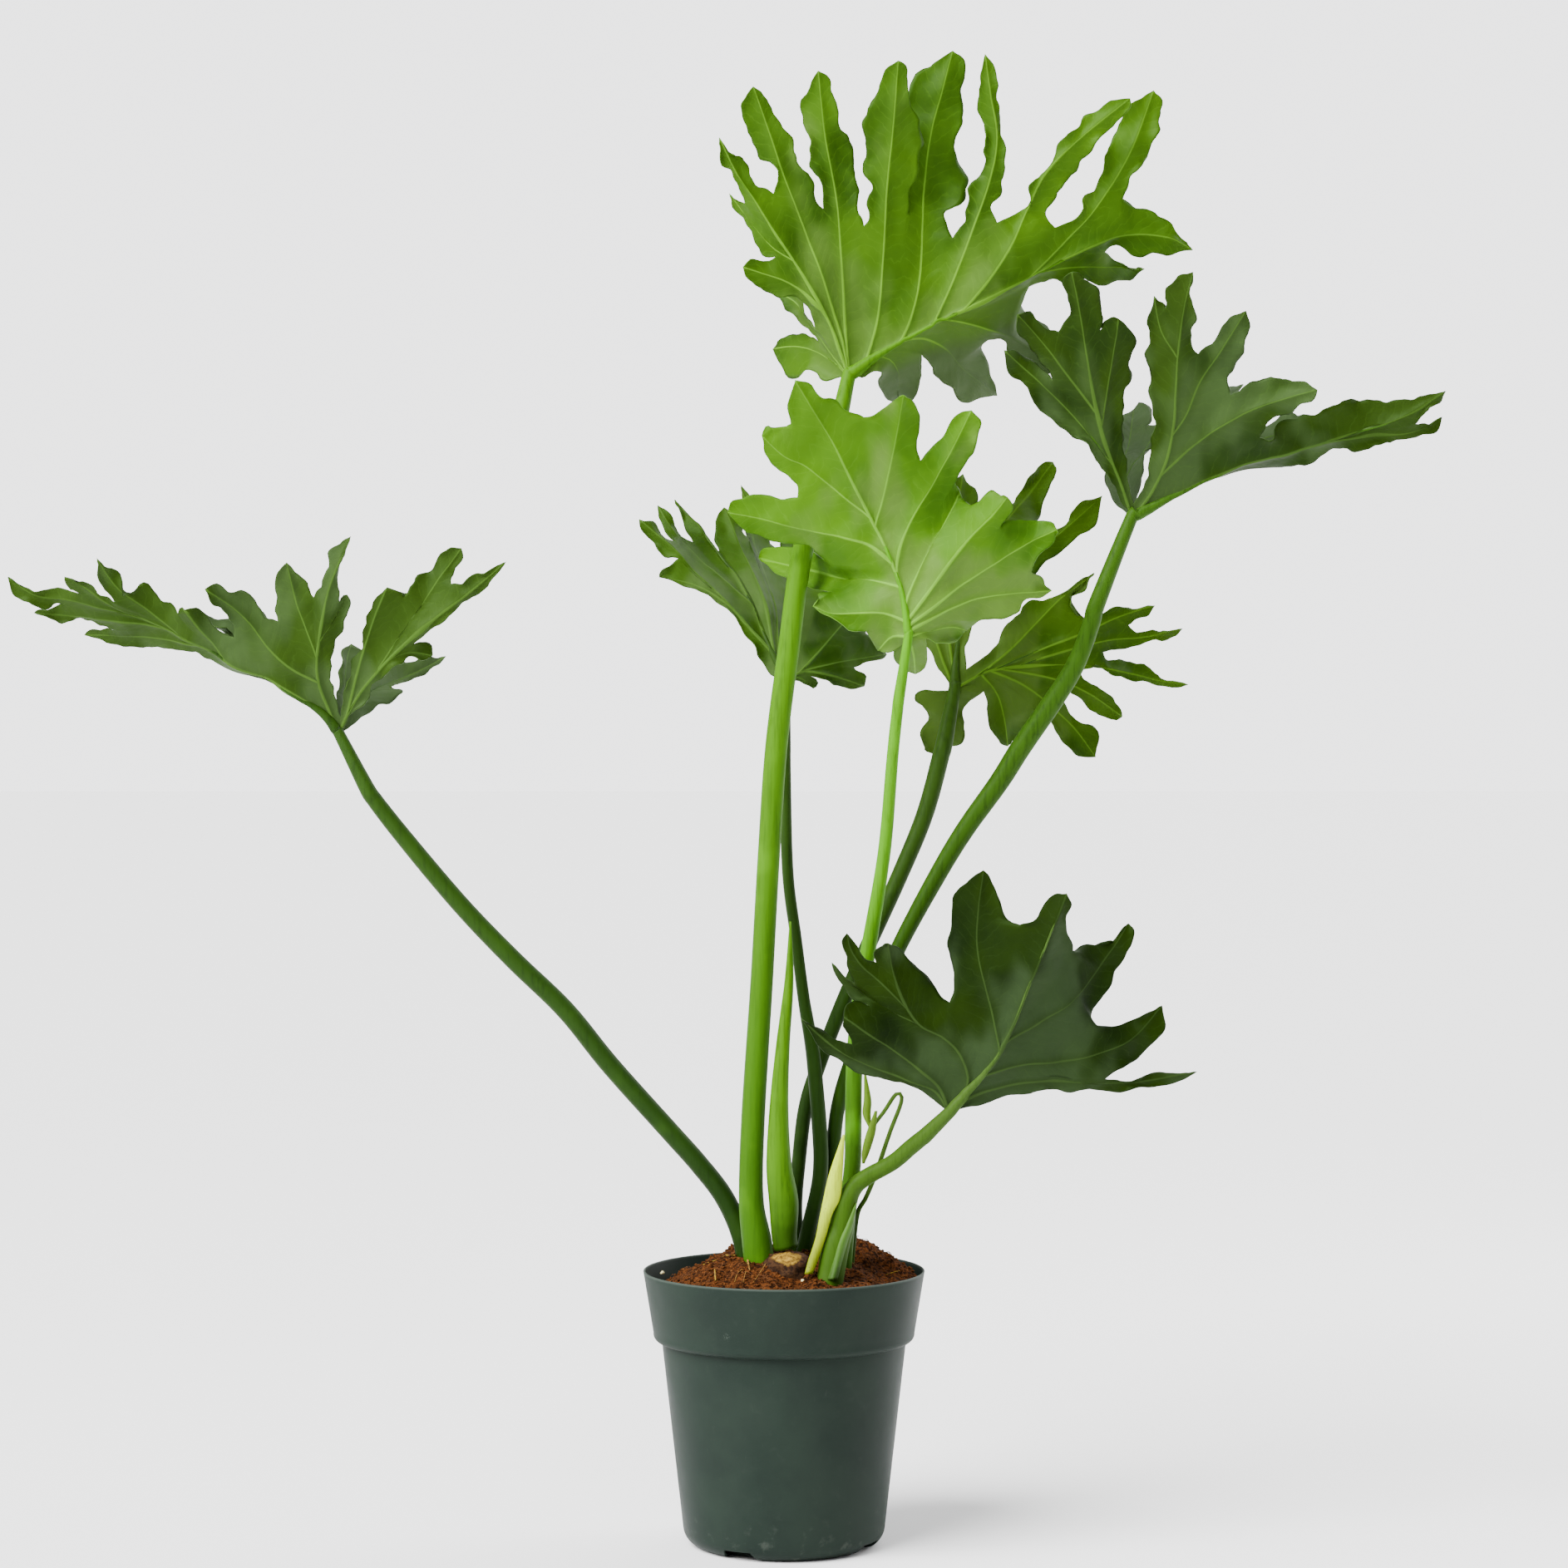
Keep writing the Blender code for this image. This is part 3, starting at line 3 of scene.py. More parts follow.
import bmesh
import bpy
import numpy as np
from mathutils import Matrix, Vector
from mathutils import noise as lumps


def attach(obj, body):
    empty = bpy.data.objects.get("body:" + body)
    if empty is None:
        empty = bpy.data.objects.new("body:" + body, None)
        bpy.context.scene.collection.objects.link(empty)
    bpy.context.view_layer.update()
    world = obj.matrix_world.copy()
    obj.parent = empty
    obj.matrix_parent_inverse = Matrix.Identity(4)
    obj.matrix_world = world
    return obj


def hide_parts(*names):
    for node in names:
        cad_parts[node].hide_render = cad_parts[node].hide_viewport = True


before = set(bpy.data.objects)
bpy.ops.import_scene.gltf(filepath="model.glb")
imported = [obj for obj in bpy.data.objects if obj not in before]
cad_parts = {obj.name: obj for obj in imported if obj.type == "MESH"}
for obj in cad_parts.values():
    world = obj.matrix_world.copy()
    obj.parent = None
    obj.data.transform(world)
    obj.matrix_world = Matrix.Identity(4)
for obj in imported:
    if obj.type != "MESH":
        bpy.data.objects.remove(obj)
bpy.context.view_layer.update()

MM = 0.001
TURN = 2 * math.pi
SEED = 7
TINY = 1e-6

# Camera: level, square sensor in millimetres, rest in metres; the drawing plane is its view
EYE_DISTANCE = 2.026
EYE_HEIGHT = 0.4447
LENS = 79.3
SENSOR = 36.0

# Pot, metres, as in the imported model
RIM_RADIUS = 0.0825
RIM_HEIGHT = 0.160
COLLAR_RADIUS = 0.0766
COLLAR_HEIGHT = 0.041
COLLAR_STEP = (0.0005, 0.003)
BODY_TOP_RADIUS = 0.0713
BODY_FOOT_RADIUS = 0.0592
FOOT_HEIGHT = 0.0107
WALL = 0.0013
LIP_ROUND = 0.0006
COLLAR_ROUND = 0.004
FLOOR_THICKNESS = 0.0016
NOTCH_COUNT = 4
NOTCH_TURN = math.radians(-28.0)
NOTCH_WIDTH = 0.026
NOTCH_TOP_WIDTH = 0.017
NOTCH_HEIGHT = 0.0055
NOTCH_IN = 0.044
NOTCH_OUT = 0.070
SHARP = math.radians(35.0)

# Places around the pot and on each stretch of its profile; an arc also has the angles,
# in degrees, at which it starts and ends
STEPS = 144
FLANK_STEPS = 12
BODY_STEPS = 16
COLLAR_ARC = (8.0, -82.0, 10)
FOOT_ARC = (-6.0, -90.0, 12)
LIP_ARC = (180.0, 0.0, 8)

# Soil, metres. Its rings crowd towards the rim, its random layers are lumps, grain and shift,
# heaps and hollows are (x, y, size, rise), and grain is (scale, rise).
SOIL_EDGE = 0.1500
SOIL_MOUND = 0.0205
SOIL_LUMP = 0.0044
SOIL_LUMP_SCALE = 75.0
SOIL_TILT = 0.05
SOIL_RADIUS = 0.0785
SOIL_FOOT = 0.0140
SOIL_RINGS = 90
SOIL_GAP = 0.0003
SOIL_SHIFT = 0.0004
SOIL_SHIFT_SCALE = 900.0
SOIL_CROWD = 0.8
SOIL_LIP = 0.004
SOIL_DOME = 1.2
SOIL_OTHER = (5.0, 2.0, 1.0)
SOIL_LAYERS = (8.0, 3.7, 9.0)
SOIL_HEAPS = [(0.046, 0.020, 0.022, 0.0150), (0.068, 0.004, 0.014, 0.0080),
              (-0.030, 0.030, 0.022, 0.0060), (-0.074, 0.004, 0.014, -0.0035),
              (-0.004, -0.052, 0.013, -0.0030), (0.022, -0.058, 0.010, -0.0022)]
SOIL_GRAIN = [(130.0, 0.0012), (320.0, 0.0010), (900.0, 0.0006)]

# Loose crumbs: how many, their sizes in millimetres, how far they sink or rise in their own
# size, how bumpy and how flat they are, and the share of the soil that they lie on
CRUMBS = 1500
CRUMB_SIZES = (0.35, 1.3)
CRUMB_RISE = (-0.2, 0.5)
CRUMB_BUMPS = (0.65, 1.25)
CRUMB_FLAT = 0.8
CRUMB_SPREAD = 0.97

# Coir fibres: how many, lengths, lifts and radii in millimetres, bends in radians
FIBRES = 420
FIBRE_LENGTHS = (2.5, 9.0)
FIBRE_LIFTS = (0.0, 1.6)
FIBRE_BENDS = (-1.2, 1.2)
FIBRE_RADII = (0.12, 0.28)
FIBRE_TAPER = 0.6
FIBRE_POINTS = 6
FIBRE_SIDES = 4
FIBRE_SPREAD = 0.93
FIBRE_MARGIN = 0.001

# Leaf sheets, millimetres: distance between places, ridges of the veins, widths of the pale
# vein lines, waves of the edge, and how the web between two veins puffs up
LEAF_THICKNESS = 0.7
STATION = 3.0
EDGE_STATION = 1.9
CURVE_STEPS = 12
LEAN_POWER = 1.35
WEB_POWER = 1.5
EDGE_POWER = 2.5
EDGE_EASE = 8.0
RIM_POWER = 6
RIB_RIDGE = 1.0
VEIN_RIDGE = 0.5
RIDGE_END = 0.15
RIDGE_WIDTH = 1.5
RIB_WIDTH = 1.8
VEIN_WIDTH = 1.0
SLIM = 0.35
SLIM_POWER = 0.7
EDGE_WAVE = 0.9
EDGE_WAVE_LENGTH = 27.0
CRINKLE = {"top": 2.8, "centre": 1.5, "right": 3.0, "rear_right": 2.4, "low": 1.1,
           "rear_left": 2.0, "left": 3.0}
FOLD = 0.20
RUFFLE = 2.0
RUFFLE_SLANT = (9.0, 7.0)
SMALL_RUFFLE = 3.2
BILLOW = 4.0
BILLOW_START = 30.0
QUILT = 0.14
WIDE = 12.0
NEAR_VEIN = (1.1, 2.6)
NEAR_LIMIT = (0.12, 0.28)
ACROSS = (0.22, 0.45, 0.66, 0.85)

# Units a millimetre in which a leaf's places are counted along and away from its veins
RUN_SCALE = 0.01

# Layers of smooth random lumps on a leaf: share, lumps a millimetre, pattern
CRINKLE_LAYERS = [(1.0, 0.10, 0.0), (0.35, 0.22, 5.0)]
RUFFLE_LAYERS = [(1.0, 0.11, 2.0)]
BILLOW_LAYERS = [(1.0, 0.030, 7.0), (0.35, 0.07, 11.0)]

# Stalks, and the ribs and veins that they run on into, metres
STALK_POINTS = 90
STALK_SIDES = 20
VEIN_SIDES = 8
OVERLAP = 10
RIB_COUNT = 7
RIB_DEPTH = 0.012
RIB_JOIN = 0.80
RIB_SLIM = 0.0017
RIB_TIP = 0.0004
RIB_FADE = 0.110
RIB_BLEND = 0.022
VEIN_ROOT = 0.0007
VEIN_TIP = 0.00015
VEIN_POWER = 0.6
VEIN_RISE = 0.00015

# Rolled leaf: places around it, where its seam starts, how it winds and how far it laps
ROLL_SIDES = 32
ROLL_SEAM = (3.9, 0.010, 40)
ROLL_LAP = (0.94, 0.10)

# Side shoot: places along it and around it
SHOOT_POINTS = 60
SHOOT_SIDES = 12

# Scales: thickness in millimetres, places along one, and how much it folds round
SHEATH_SHAPE = (1.0, 40, 0.5)
TIP_SHAPE = (0.9, 30, 0.5)
FLAP_SHAPE = (1.2, 36, 0.9)

# Photographed view, pixels of its square frame, and how finely, in metres, the soil is found
VIEW_CENTRE = (943.3, 943.0)
VIEW_FOCUS = 4155.0
SIGHT_STEP = 0.0005
ABOVE_SOIL = 0.0004

# Thin roots: radius in millimetres and the pixels that they pass
ROOTS = [(0.45, [(915, 1507), (928, 1502), (945, 1498), (960, 1496)]),
         (0.30, [(930, 1509), (923, 1521), (914, 1534), (906, 1544)]),
         (1.10, [(899, 1511), (900, 1520), (902, 1529)]),
         (0.35, [(893, 1528), (887, 1536), (884, 1543)]),
         (0.30, [(898, 1530), (896, 1538), (894, 1545)]),
         (0.30, [(884, 1512), (877, 1512), (868, 1514)]),
         (0.25, [(1018, 1518), (1024, 1521), (1029, 1524)])]
ROOT_POINTS = 16
ROOT_ARCH = 0.0012
ROOT_TAPER = 0.5
ROOT_SIDES = 6

# Woody base, metres; its top starts to round off at a share of its height, over the share
# that is left. Its grain is (share, lumps round it, lumps a metre up it).
TRUNK_RADIUS = 0.0150
TRUNK_X = 0.0030
TRUNK_Y = -0.0290
TRUNK_FOOT = 0.1400
TRUNK_TOP = 0.1742
TRUNK_RINGS = 26
TRUNK_SIDES = 48
TRUNK_ROUND = 0.8
TRUNK_DOME = 0.2
TRUNK_SWELL = (0.06, 5.0)
TRUNK_CAP = (0.9, 0.1)
TRUNK_GRAIN = [(1.0, 2.2, 260.0), (0.5, 7.0, 500.0)]
TRUNK_ROUGH = 0.10
TRUNK_LIFT = 0.0008

# Small mark on the pot, metres, and the scar on the woody base in its own scale
POT_MARK = (-0.0316, -0.0690, 0.1318)
SCAR_SHIFT = (-0.10, 2.5, -39.7)
SCAR_SCALE = (100.0, 60.0, 230.0)

# Pale bits: perlite as right, down in pixels and size in millimetres; straws as radius in
# millimetres, their two end pixels and how far the far end rises
PERLITE = [(797, 1531, 1.5), (1006, 1543, 0.8), (966, 1541, 1.2)]
STRAWS = [(0.55, [(861, 1541), (860, 1536)], 4.0), (0.45, [(874, 1511), (890, 1512)], 0.5),
          (0.35, [(846, 1522), (862, 1518)], 0.8), (0.30, [(985, 1544), (1004, 1541)], 0.3),
          (0.30, [(1066, 1534), (1082, 1530)], 0.4)]

# Straws: steps along one, how much it thins at its ends, and its sides; then the largest
# random turn of a pale bit, in radians
STRAW_STEPS = 8
STRAW_TAPER = 0.4
STRAW_SIDES = 6
MOST_TURN = 6.0

# Part of a leaf with a painted grey sheen, in the tone of its back side: below the line through
# (x, z) with this rise, right of the last value; it fades in over two distances, millimetres
PAINTED_GREY_SHEEN = {"top": (38.0, 684.0, 0.366, 46.0)}
PAINTED_GREY_SHEEN_FADE = (8.0, 10.0)

# Leaves, in units of reflected light: deep, fresh, vein, back side, light through, painted sheen,
# then the share of light through, the gloss and how far the painted sheen spreads
TONE = 0.00090
LEAF_TONES = {
    "top": ((16, 46, 1), (48, 126, 1), (150, 350, 20), (66, 100, 38), (62, 370, 1),
            (82, 162, 22), 0.22, 0.20, 0.44),
    "centre": ((30, 96, 1), (66, 182, 1), (170, 400, 30), (48, 90, 22), (80, 440, 1),
               (104, 184, 34), 0.20, 0.20, 0.48),
    "right": ((6, 17, 1), (19, 42, 3), (56, 120, 16), (46, 70, 34), (27, 88, 3),
              (40, 72, 22), 0.10, 0.12, 0.47),
    "rear_right": ((13, 38, 1), (35, 84, 1), (84, 190, 10), (40, 68, 20), (46, 156, 1),
                   (58, 108, 16), 0.20, 0.12, 0.43),
    "low": ((2, 6, 1), (9, 21, 1), (32, 62, 14), (18, 34, 12), (16, 44, 6),
            (27, 47, 18), 0.10, 0.08, 0.53),
    "rear_left": ((11, 30, 1), (32, 76, 4), (70, 150, 20), (32, 56, 20), (96, 400, 1),
                  (52, 92, 22), 0.24, 0.12, 0.47),
    "left": ((10, 26, 1), (26, 57, 5), (64, 138, 18), (34, 58, 22), (34, 108, 6),
             (46, 83, 25), 0.12, 0.12, 0.46),
}
SHEEN_TINT = (0.55, 1.0, 0.35)
# Painted sheen: patches a metre, their stretch, how they thin towards the tips, and their soft edge
PAINTED_SHEEN_SPOTS = 22.0
PAINTED_SHEEN_STRETCH = (1.0, 1.0, 0.55)
PAINTED_SHEEN_FALL = -0.30
PAINTED_SHEEN_EDGE = (0.80, 0.93)
VEINLET_SLANT = 0.8
VEINLET_GAP = 0.075
VEINLET_DRIFT = 0.26
VEINLET_WANDER = 42.0
VEINLET_LINE = (0.07, 0.01)
VEINLET_REACH = (0.22, 0.06)
VEINLET_SHOW = 0.12
VEIN_LINE = (1.1, 0.45)
VEIN_HALO = 0.055
LEAF_PATCH = 20.0
LEAF_GRAIN = 160.0
LEAF_SWELL = 70.0
LEAF_RELIEF = (0.55, 0.0012)

# Stalks: colour low and high, and the heights between which it changes, metres
STALK_TONES = {
    "top": ((33, 107, 1), (58, 172, 1), 0.2, 0.6),
    "centre": ((25, 76, 1), (68, 240, 1), 0.2, 0.45),
    "right": ((10, 33, 1), (28, 80, 3), 0.2, 0.5),
    "rear_right": ((10, 30, 2), (22, 56, 4), 0.2, 0.5),
    "low": ((30, 76, 3), (40, 82, 12), 0.20, 0.30),
    "rear_left": ((11, 34, 2), (19, 48, 4), 0.2, 0.5),
    "left": ((9, 28, 2), (17, 48, 3), 0.18, 0.45),
}

# Rolled leaf, side shoot and scales: the same four values
ROLL_TONES = ((16, 46, 1), (52, 152, 1), 0.165, 0.235)
SHOOT_TONES = ((22, 54, 5), (44, 92, 9), 0.17, 0.26)
PALE_SCALE = ((194, 250, 1), (432, 576, 1), 0.165, 0.215)
GREEN_SCALE = ((58, 106, 3), (74, 150, 3), 0.20, 0.26)
FLAP_TONES = ((33, 82, 9), (53, 135, 11), 0.155, 0.19)
SCALE_SPECK = (40, 26, 6)

# Pot: its two base colours, then dust, rubbed marks, the small mark and a painted highlight on the
# lip
POT_TONES = ((10, 17, 13), (14, 23, 17))
POT_DUST = (60, 71, 58)
POT_RUBBED = (36, 50, 40)
POT_SCUFF = (86, 109, 87)
POT_LIP_HIGHLIGHT = (70, 88, 74)

# Potting mix and its crumbs: dark gaps, partly painted shade; grains; pale flecks, partly painted
# highlight; then grains a metre
MIX_TONES = ((8, 3, 1), (100, 31, 7), (205, 84, 22), 420.0)
CRUMB_TONES = ((24, 7, 2), (130, 43, 10), (200, 90, 28), 260.0)

# Woody base and its scar, and small bits: two close colours; bits also have a roughness
# and grains a metre
BARK_TONES = ((11, 5, 3), (54, 24, 9))
SCAR_TONES = ((96, 48, 8), (330, 200, 24))
FIBRE_TONES = ((71, 24, 9), (130, 53, 19), 0.85, 300.0)
ROOT_TONES = ((272, 148, 26), (86, 40, 17), 0.7, 400.0)
PERLITE_TONES = ((900, 823, 426), (314, 281, 161), 0.9, 900.0)
STRAW_TONES = ((361, 220, 14), (149, 83, 18), 0.8, 600.0)

# Gloss and roughness of the skins
LEAF_ROUGH = 0.52
STALK_ROUGH = 0.5
STALK_GLOSS = 0.06
POT_ROUGH = 0.5
POT_GLOSS = 0.06

# Room: floor, the light it gives and how bright its far wall looks
FLOOR_PALE = 0.90
FLOOR_HALF = 200.0
ROOM_COLOUR = (1.0, 1.0, 1.01)
ROOM_LIGHT = 0.50
WALL_LIGHT = 3.1

# Wide distant lights: name, direction that they come from, power, spread in degrees
SUNS = [("main_light", (-0.52, -0.45, 0.72), 10.6, 42.0),
        ("back_light", (0.55, 0.62, 0.56), 2.8, 60.0)]

# Box lights: name, place, aim, size, power
LIGHTS = [("left_box", (-1.7, -0.75, 0.75), (0.0, 0.0, 0.45), (0.5, 1.5), 18.0),
          ("right_box", (1.6, 0.8, 0.85), (0.0, 0.0, 0.45), (0.6, 1.6), 18.0)]

# Leaf blades, as drawn in millimetres. A rib is its (x, z, y) places from the stalk to
# the end of the last lobe.
RIBS = {
    "top": [(38, 684, 12), (60, 699, 11), (100, 720, 10), (143, 741, 12), (185, 762, 15),
            (205, 767, 18), (225, 765, 22), (240, 758, 28)],
    "centre": [(73, 531, -45), (71, 548, -44), (66, 568, -42), (59, 585, -41), (51, 600, -42),
               (40, 622, -46), (30, 642, -52), (19, 660, -60), (7, 681, -70)],
    "right": [(204, 601, 8), (220, 609, 8), (240, 619, 9), (260, 628, 10), (280, 635, 11),
              (300, 640, 12), (330, 649, 12), (360, 658, 11), (388, 675, 8)],
    "rear_right": [(100, 500, 42), (101, 520, 50), (105, 545, 66), (114, 572, 88), (130, 598, 114),
                   (144, 615, 134), (158, 634, 152)],
    "low": [(97, 252, -64), (105, 261, -66), (115, 272, -68), (126, 287, -72), (136, 306, -78),
            (146, 331, -88), (155, 352, -98), (166, 381, -112)],
    "rear_left": [(1, 506, 28), (-8, 524, 34), (-19, 548, 46), (-30, 570, 60), (-45, 590, 76),
                  (-64, 611, 92)],
    "left": [(-261, 474, 0), (-268, 483, -1), (-280, 493, -2), (-300, 505, -3), (-320, 512, -4),
             (-340, 524, -5), (-362, 536, -6), (-390, 547, -7), (-415, 552, -8), (-438, 555, -8),
             (-455, 566, -8)],
}

# Lobes, clockwise as drawn, starting left of the stalk. A lobe is (name, parent, lean, vein,
# rise, fall, notch): the vein leaves its parent near its first place and ends at the lobe's
# tip, lean is how far behind its root the tip lies, rise and fall are the edge up to the tip
# and on to the notch before the next lobe. The lobe named "end" has the rib as its vein.
LOBES = {
    "top": [
        ("p1", "rib", 48, [(38, 684), (30, 692), (18, 699), (4, 701), (-7, 700)],
         [(30, 683), (22, 682), (14, 688), (7, 685), (-1, 687)], [(1, 707), (11, 709)], (22, 703)),
        ("p2", "rib", 30, [(38, 684), (28, 698), (18, 713), (8, 726), (-3, 733)],
         [(15, 710), (8, 717), (0, 724)], [(6, 731), (13, 722)], (19, 712)),
        ("p3", "a", -8, [(23, 723), (12, 733), (0, 740), (-12, 744), (-24, 748)],
         [(16, 724), (7, 732), (-4, 732), (-13, 735), (-20, 740)], [(-19, 752), (-12, 753)],
         (-5, 754)),
        ("a0", "a", 8, [(6, 751), (-6, 759), (-18, 773), (-32, 791)],
         [(-14, 757), (-20, 768), (-22, 777), (-29, 782)], [(-28, 788)], (-23, 785)),
        ("a", "rib", -22,
         [(38, 684), (33, 698), (27, 714), (18, 731), (6, 751), (-6, 769), (-16, 785), (-27, 801),
          (-38, 824)], [(-26, 794), (-32, 802), (-38, 811)],
         [(-34, 817), (-25, 813), (-20, 806), (-18, 799), (-11, 795)], (-6, 791)),
        ("b", "rib", -18,
         [(38, 684), (34, 705), (26, 730), (15, 762), (2, 795), (-8, 825), (-18, 854)],
         [(-3, 801), (-7, 809), (-14, 812), (-17, 822), (-23, 832), (-24, 845)],
         [(-12, 850), (-6, 838), (4, 822), (10, 807), (17, 796), (19, 786)], (23, 782)),
        ("c", "rib", -12, [(38, 684), (36, 710), (34, 745), (31, 785), (24, 825), (20, 863)],
         [(22, 796), (16, 806), (16, 820), (12, 832), (12, 848)],
         [(26, 858), (31, 840), (38, 823), (42, 810), (42, 795), (44, 782)], (47, 772)),
        ("d", "rib", -20, [(46, 692), (55, 718), (58, 750), (60, 790), (64, 830), (67, 869)],
         [(50, 778), (49, 795), (47, 815), (48, 838), (55, 852), (59, 863)],
         [(73, 865), (74, 850), (79, 836), (81, 820), (78, 803), (75, 790)], (73, 778)),
        ("e", "rib", 8,
         [(68, 706), (75, 720), (80, 745), (82, 790), (86, 825), (93, 852), (99, 875)],
         [(75, 800), (73, 822), (73, 845), (78, 861), (90, 869)],
         [(106, 868), (105, 845), (101, 822), (103, 808), (108, 799), (104, 786), (94, 779)],
         (99, 765)),
        ("f", "rib", -6,
         [(88, 714), (98, 737), (109, 765), (121, 800), (125, 825), (121, 850), (118, 873)],
         [(105, 776), (108, 793), (116, 802), (119, 822), (114, 842), (115, 860)],
         [(124, 864), (126, 845), (128, 830), (130, 810), (126, 793), (122, 783)], (125, 774)),
        ("g", "rib", -14,
         [(106, 724), (122, 743), (134, 762), (143, 782), (153, 802), (172, 822), (203, 847)],
         [(134, 779), (142, 787), (144, 797), (155, 804), (159, 816), (172, 831), (183, 840),
          (190, 846)], [(203, 840), (192, 829), (179, 815), (168, 801), (158, 787), (153, 779)],
         (159, 771)),
        ("h", "rib", 8, [(143, 741), (165, 763), (184, 784), (203, 815), (217, 852)],
         [(172, 776), (176, 788), (183, 795), (187, 808), (193, 822), (203, 842)],
         [(222, 845), (219, 828), (211, 810), (203, 798)], (199, 788)),
        ("end", "rib", 0, [], [(208, 783), (218, 780), (226, 772), (233, 765)],
         [(228, 757), (212, 755), (200, 757), (193, 760)], (188, 757)),
        ("j", "rib", 34, [(150, 745), (172, 748), (192, 748), (212, 747)], [(194, 752), (203, 748)],
         [(205, 742), (190, 739), (165, 739)], (145, 735)),
        ("k", "rib", 62, [(92, 716), (104, 716), (118, 713), (133, 707), (148, 698), (161, 688)],
         [(141, 727), (147, 719), (157, 708)], [(150, 687), (138, 696), (127, 704)], (119, 707)),
        ("l", "rib", 70, [(70, 705), (84, 705), (96, 699), (105, 688), (124, 673)],
         [(115, 701), (119, 692), (122, 684)],
         [(116, 671), (108, 667), (101, 675), (95, 681), (90, 688)], (81, 696)),
        ("m", "rib", 50, [(55, 695), (63, 693), (67, 684), (66, 669)],
         [(80, 688), (80, 677), (75, 668)], [(59, 671), (56, 677), (57, 685), (47, 684)], None),
    ],
    "centre": [
        ("q1", "rib", 16, [(73, 531), (63, 531), (55, 523)], [(68, 526), (61, 521)], [(52, 528)],
         (48, 534)),
        ("q2", "rib", 14, [(72, 540), (58, 545), (42, 545), (28, 545), (17, 549)],
         [(40, 535), (32, 539), (25, 544)], [(20, 553)], (28, 558)),
        ("l", "rib", 92, [(68, 560), (52, 564), (36, 565), (20, 569), (2, 573), (-16, 577)],
         [(20, 561), (12, 561), (3, 565), (-6, 570)], [(-14, 582), (-3, 583), (9, 580), (18, 576)],
         (28, 571)),
        ("k", "rib", 12, [(64, 574), (50, 585), (33, 590), (10, 594), (-12, 600), (-33, 604)],
         [(17, 580), (5, 583), (-9, 587), (-20, 592), (-28, 598)],
         [(-30, 611), (-20, 614), (-5, 613)], (8, 613)),
        ("j", "rib", -6, [(50, 602), (40, 609), (25, 621), (12, 631), (0, 637), (-13, 649)],
         [(8, 620), (3, 624), (-4, 628), (-10, 637)], [(-10, 655), (-3, 654)], (4, 656)),
        ("end", "rib", 0, [], [(3, 665), (5, 675)], [(15, 679), (22, 672), (30, 669), (39, 664)],
         (47, 660)),
        ("u1", "rib", -26, [(54, 596), (58, 612), (62, 630), (66, 650), (70, 673)],
         [(55, 661), (63, 669)], [(77, 667), (80, 657), (78, 645)], (80, 634)),
        ("u2", "rib", -18, [(66, 568), (69, 586), (76, 602), (86, 618), (96, 636), (110, 664)],
         [(87, 643), (95, 653), (102, 661)], [(115, 656), (113, 645), (107, 632)], (101, 621)),
        ("u3", "rib", 4, [(71, 548), (75, 560), (81, 573), (89, 588), (97, 603), (104, 617)],
         [(103, 618)], [(107, 612)], (110, 608)),
        ("u4", "rib", -16, [(72, 541), (84, 556), (97, 574), (110, 590), (122, 602), (131, 613)],
         [(115, 611), (121, 617)], [(134, 607), (132, 601)], (126, 595)),
        ("u5", "rib", -4, [(73, 536), (88, 549), (104, 561), (122, 573), (142, 585), (160, 594)],
         [(132, 599), (146, 600), (156, 598)], [(158, 587), (152, 581), (147, 575)], (145, 569)),
        ("u6", "rib", 16, [(73, 533), (88, 543), (106, 551), (126, 556), (157, 558)],
         [(149, 566), (153, 561)], [(150, 554), (142, 552), (137, 546), (126, 541)], (114, 541)),
        ("u7", "rib", 26, [(73, 532), (86, 535), (98, 537), (107, 535)], [(110, 537)],
         [(101, 529), (91, 527)], (83, 530)),
        ("u8", "rib", 34, [(73, 531), (76, 521), (77, 509)], [(84, 519), (82, 511)],
         [(70, 512), (65, 521)], None),
    ],
    "right": [
        ("r1", "r3", -4, [(193, 632), (180, 649), (163, 668), (147, 683), (129, 699)],
         [(197, 611), (191, 625), (182, 637), (171, 647), (160, 656), (149, 667), (142, 678),
          (131, 689)], [(137, 697), (145, 692), (151, 687)], (158, 681)),
        ("r2", "r3", -16, [(183, 663), (170, 680), (157, 697), (147, 709), (137, 720)],
         [(150, 693), (143, 703), (137, 711)], [(144, 721), (151, 716)], (161, 710)),
        ("r3", "rib", -30,
         [(204, 601), (198, 619), (191, 637), (184, 660), (179, 685), (175, 712), (169, 745)],
         [(166, 718), (166, 728), (163, 741)], [(175, 744), (183, 735), (187, 725), (187, 716)],
         (185, 711)),
        ("r4", "r3", -14, [(186, 653), (189, 675), (193, 697), (196, 718)], [(189, 716)],
         [(202, 713), (206, 700), (203, 688), (202, 676), (199, 664), (199, 648), (201, 628)],
         (205, 609)),
        ("c0", "c1", -6, [(228, 694), (221, 711), (217, 731)],
         [(212, 621), (217, 640), (216, 664), (215, 688), (214, 714)], [(221, 728)], (223, 723)),
        ("c1", "rib", -42,
         [(204, 601), (214, 613), (223, 631), (228, 652), (230, 680), (232, 706), (235, 726),
          (240, 745)], [(225, 734), (231, 743)], [(238, 733), (242, 722), (238, 709), (239, 702)],
         (243, 697)),
        ("c2", "c1", -22, [(227, 648), (236, 662), (245, 682), (257, 700), (271, 722)],
         [(250, 703), (256, 712), (262, 718)], [(273, 714), (271, 702), (266, 690), (261, 682)],
         (262, 673)),
        ("c3", "c1", -26, [(221, 626), (234, 638), (250, 650), (270, 662), (292, 670), (313, 676)],
         [(272, 678), (283, 685), (292, 682), (302, 682)], [(309, 668), (298, 662), (287, 659)],
         (279, 648)),
        ("end", "rib", 0, [],
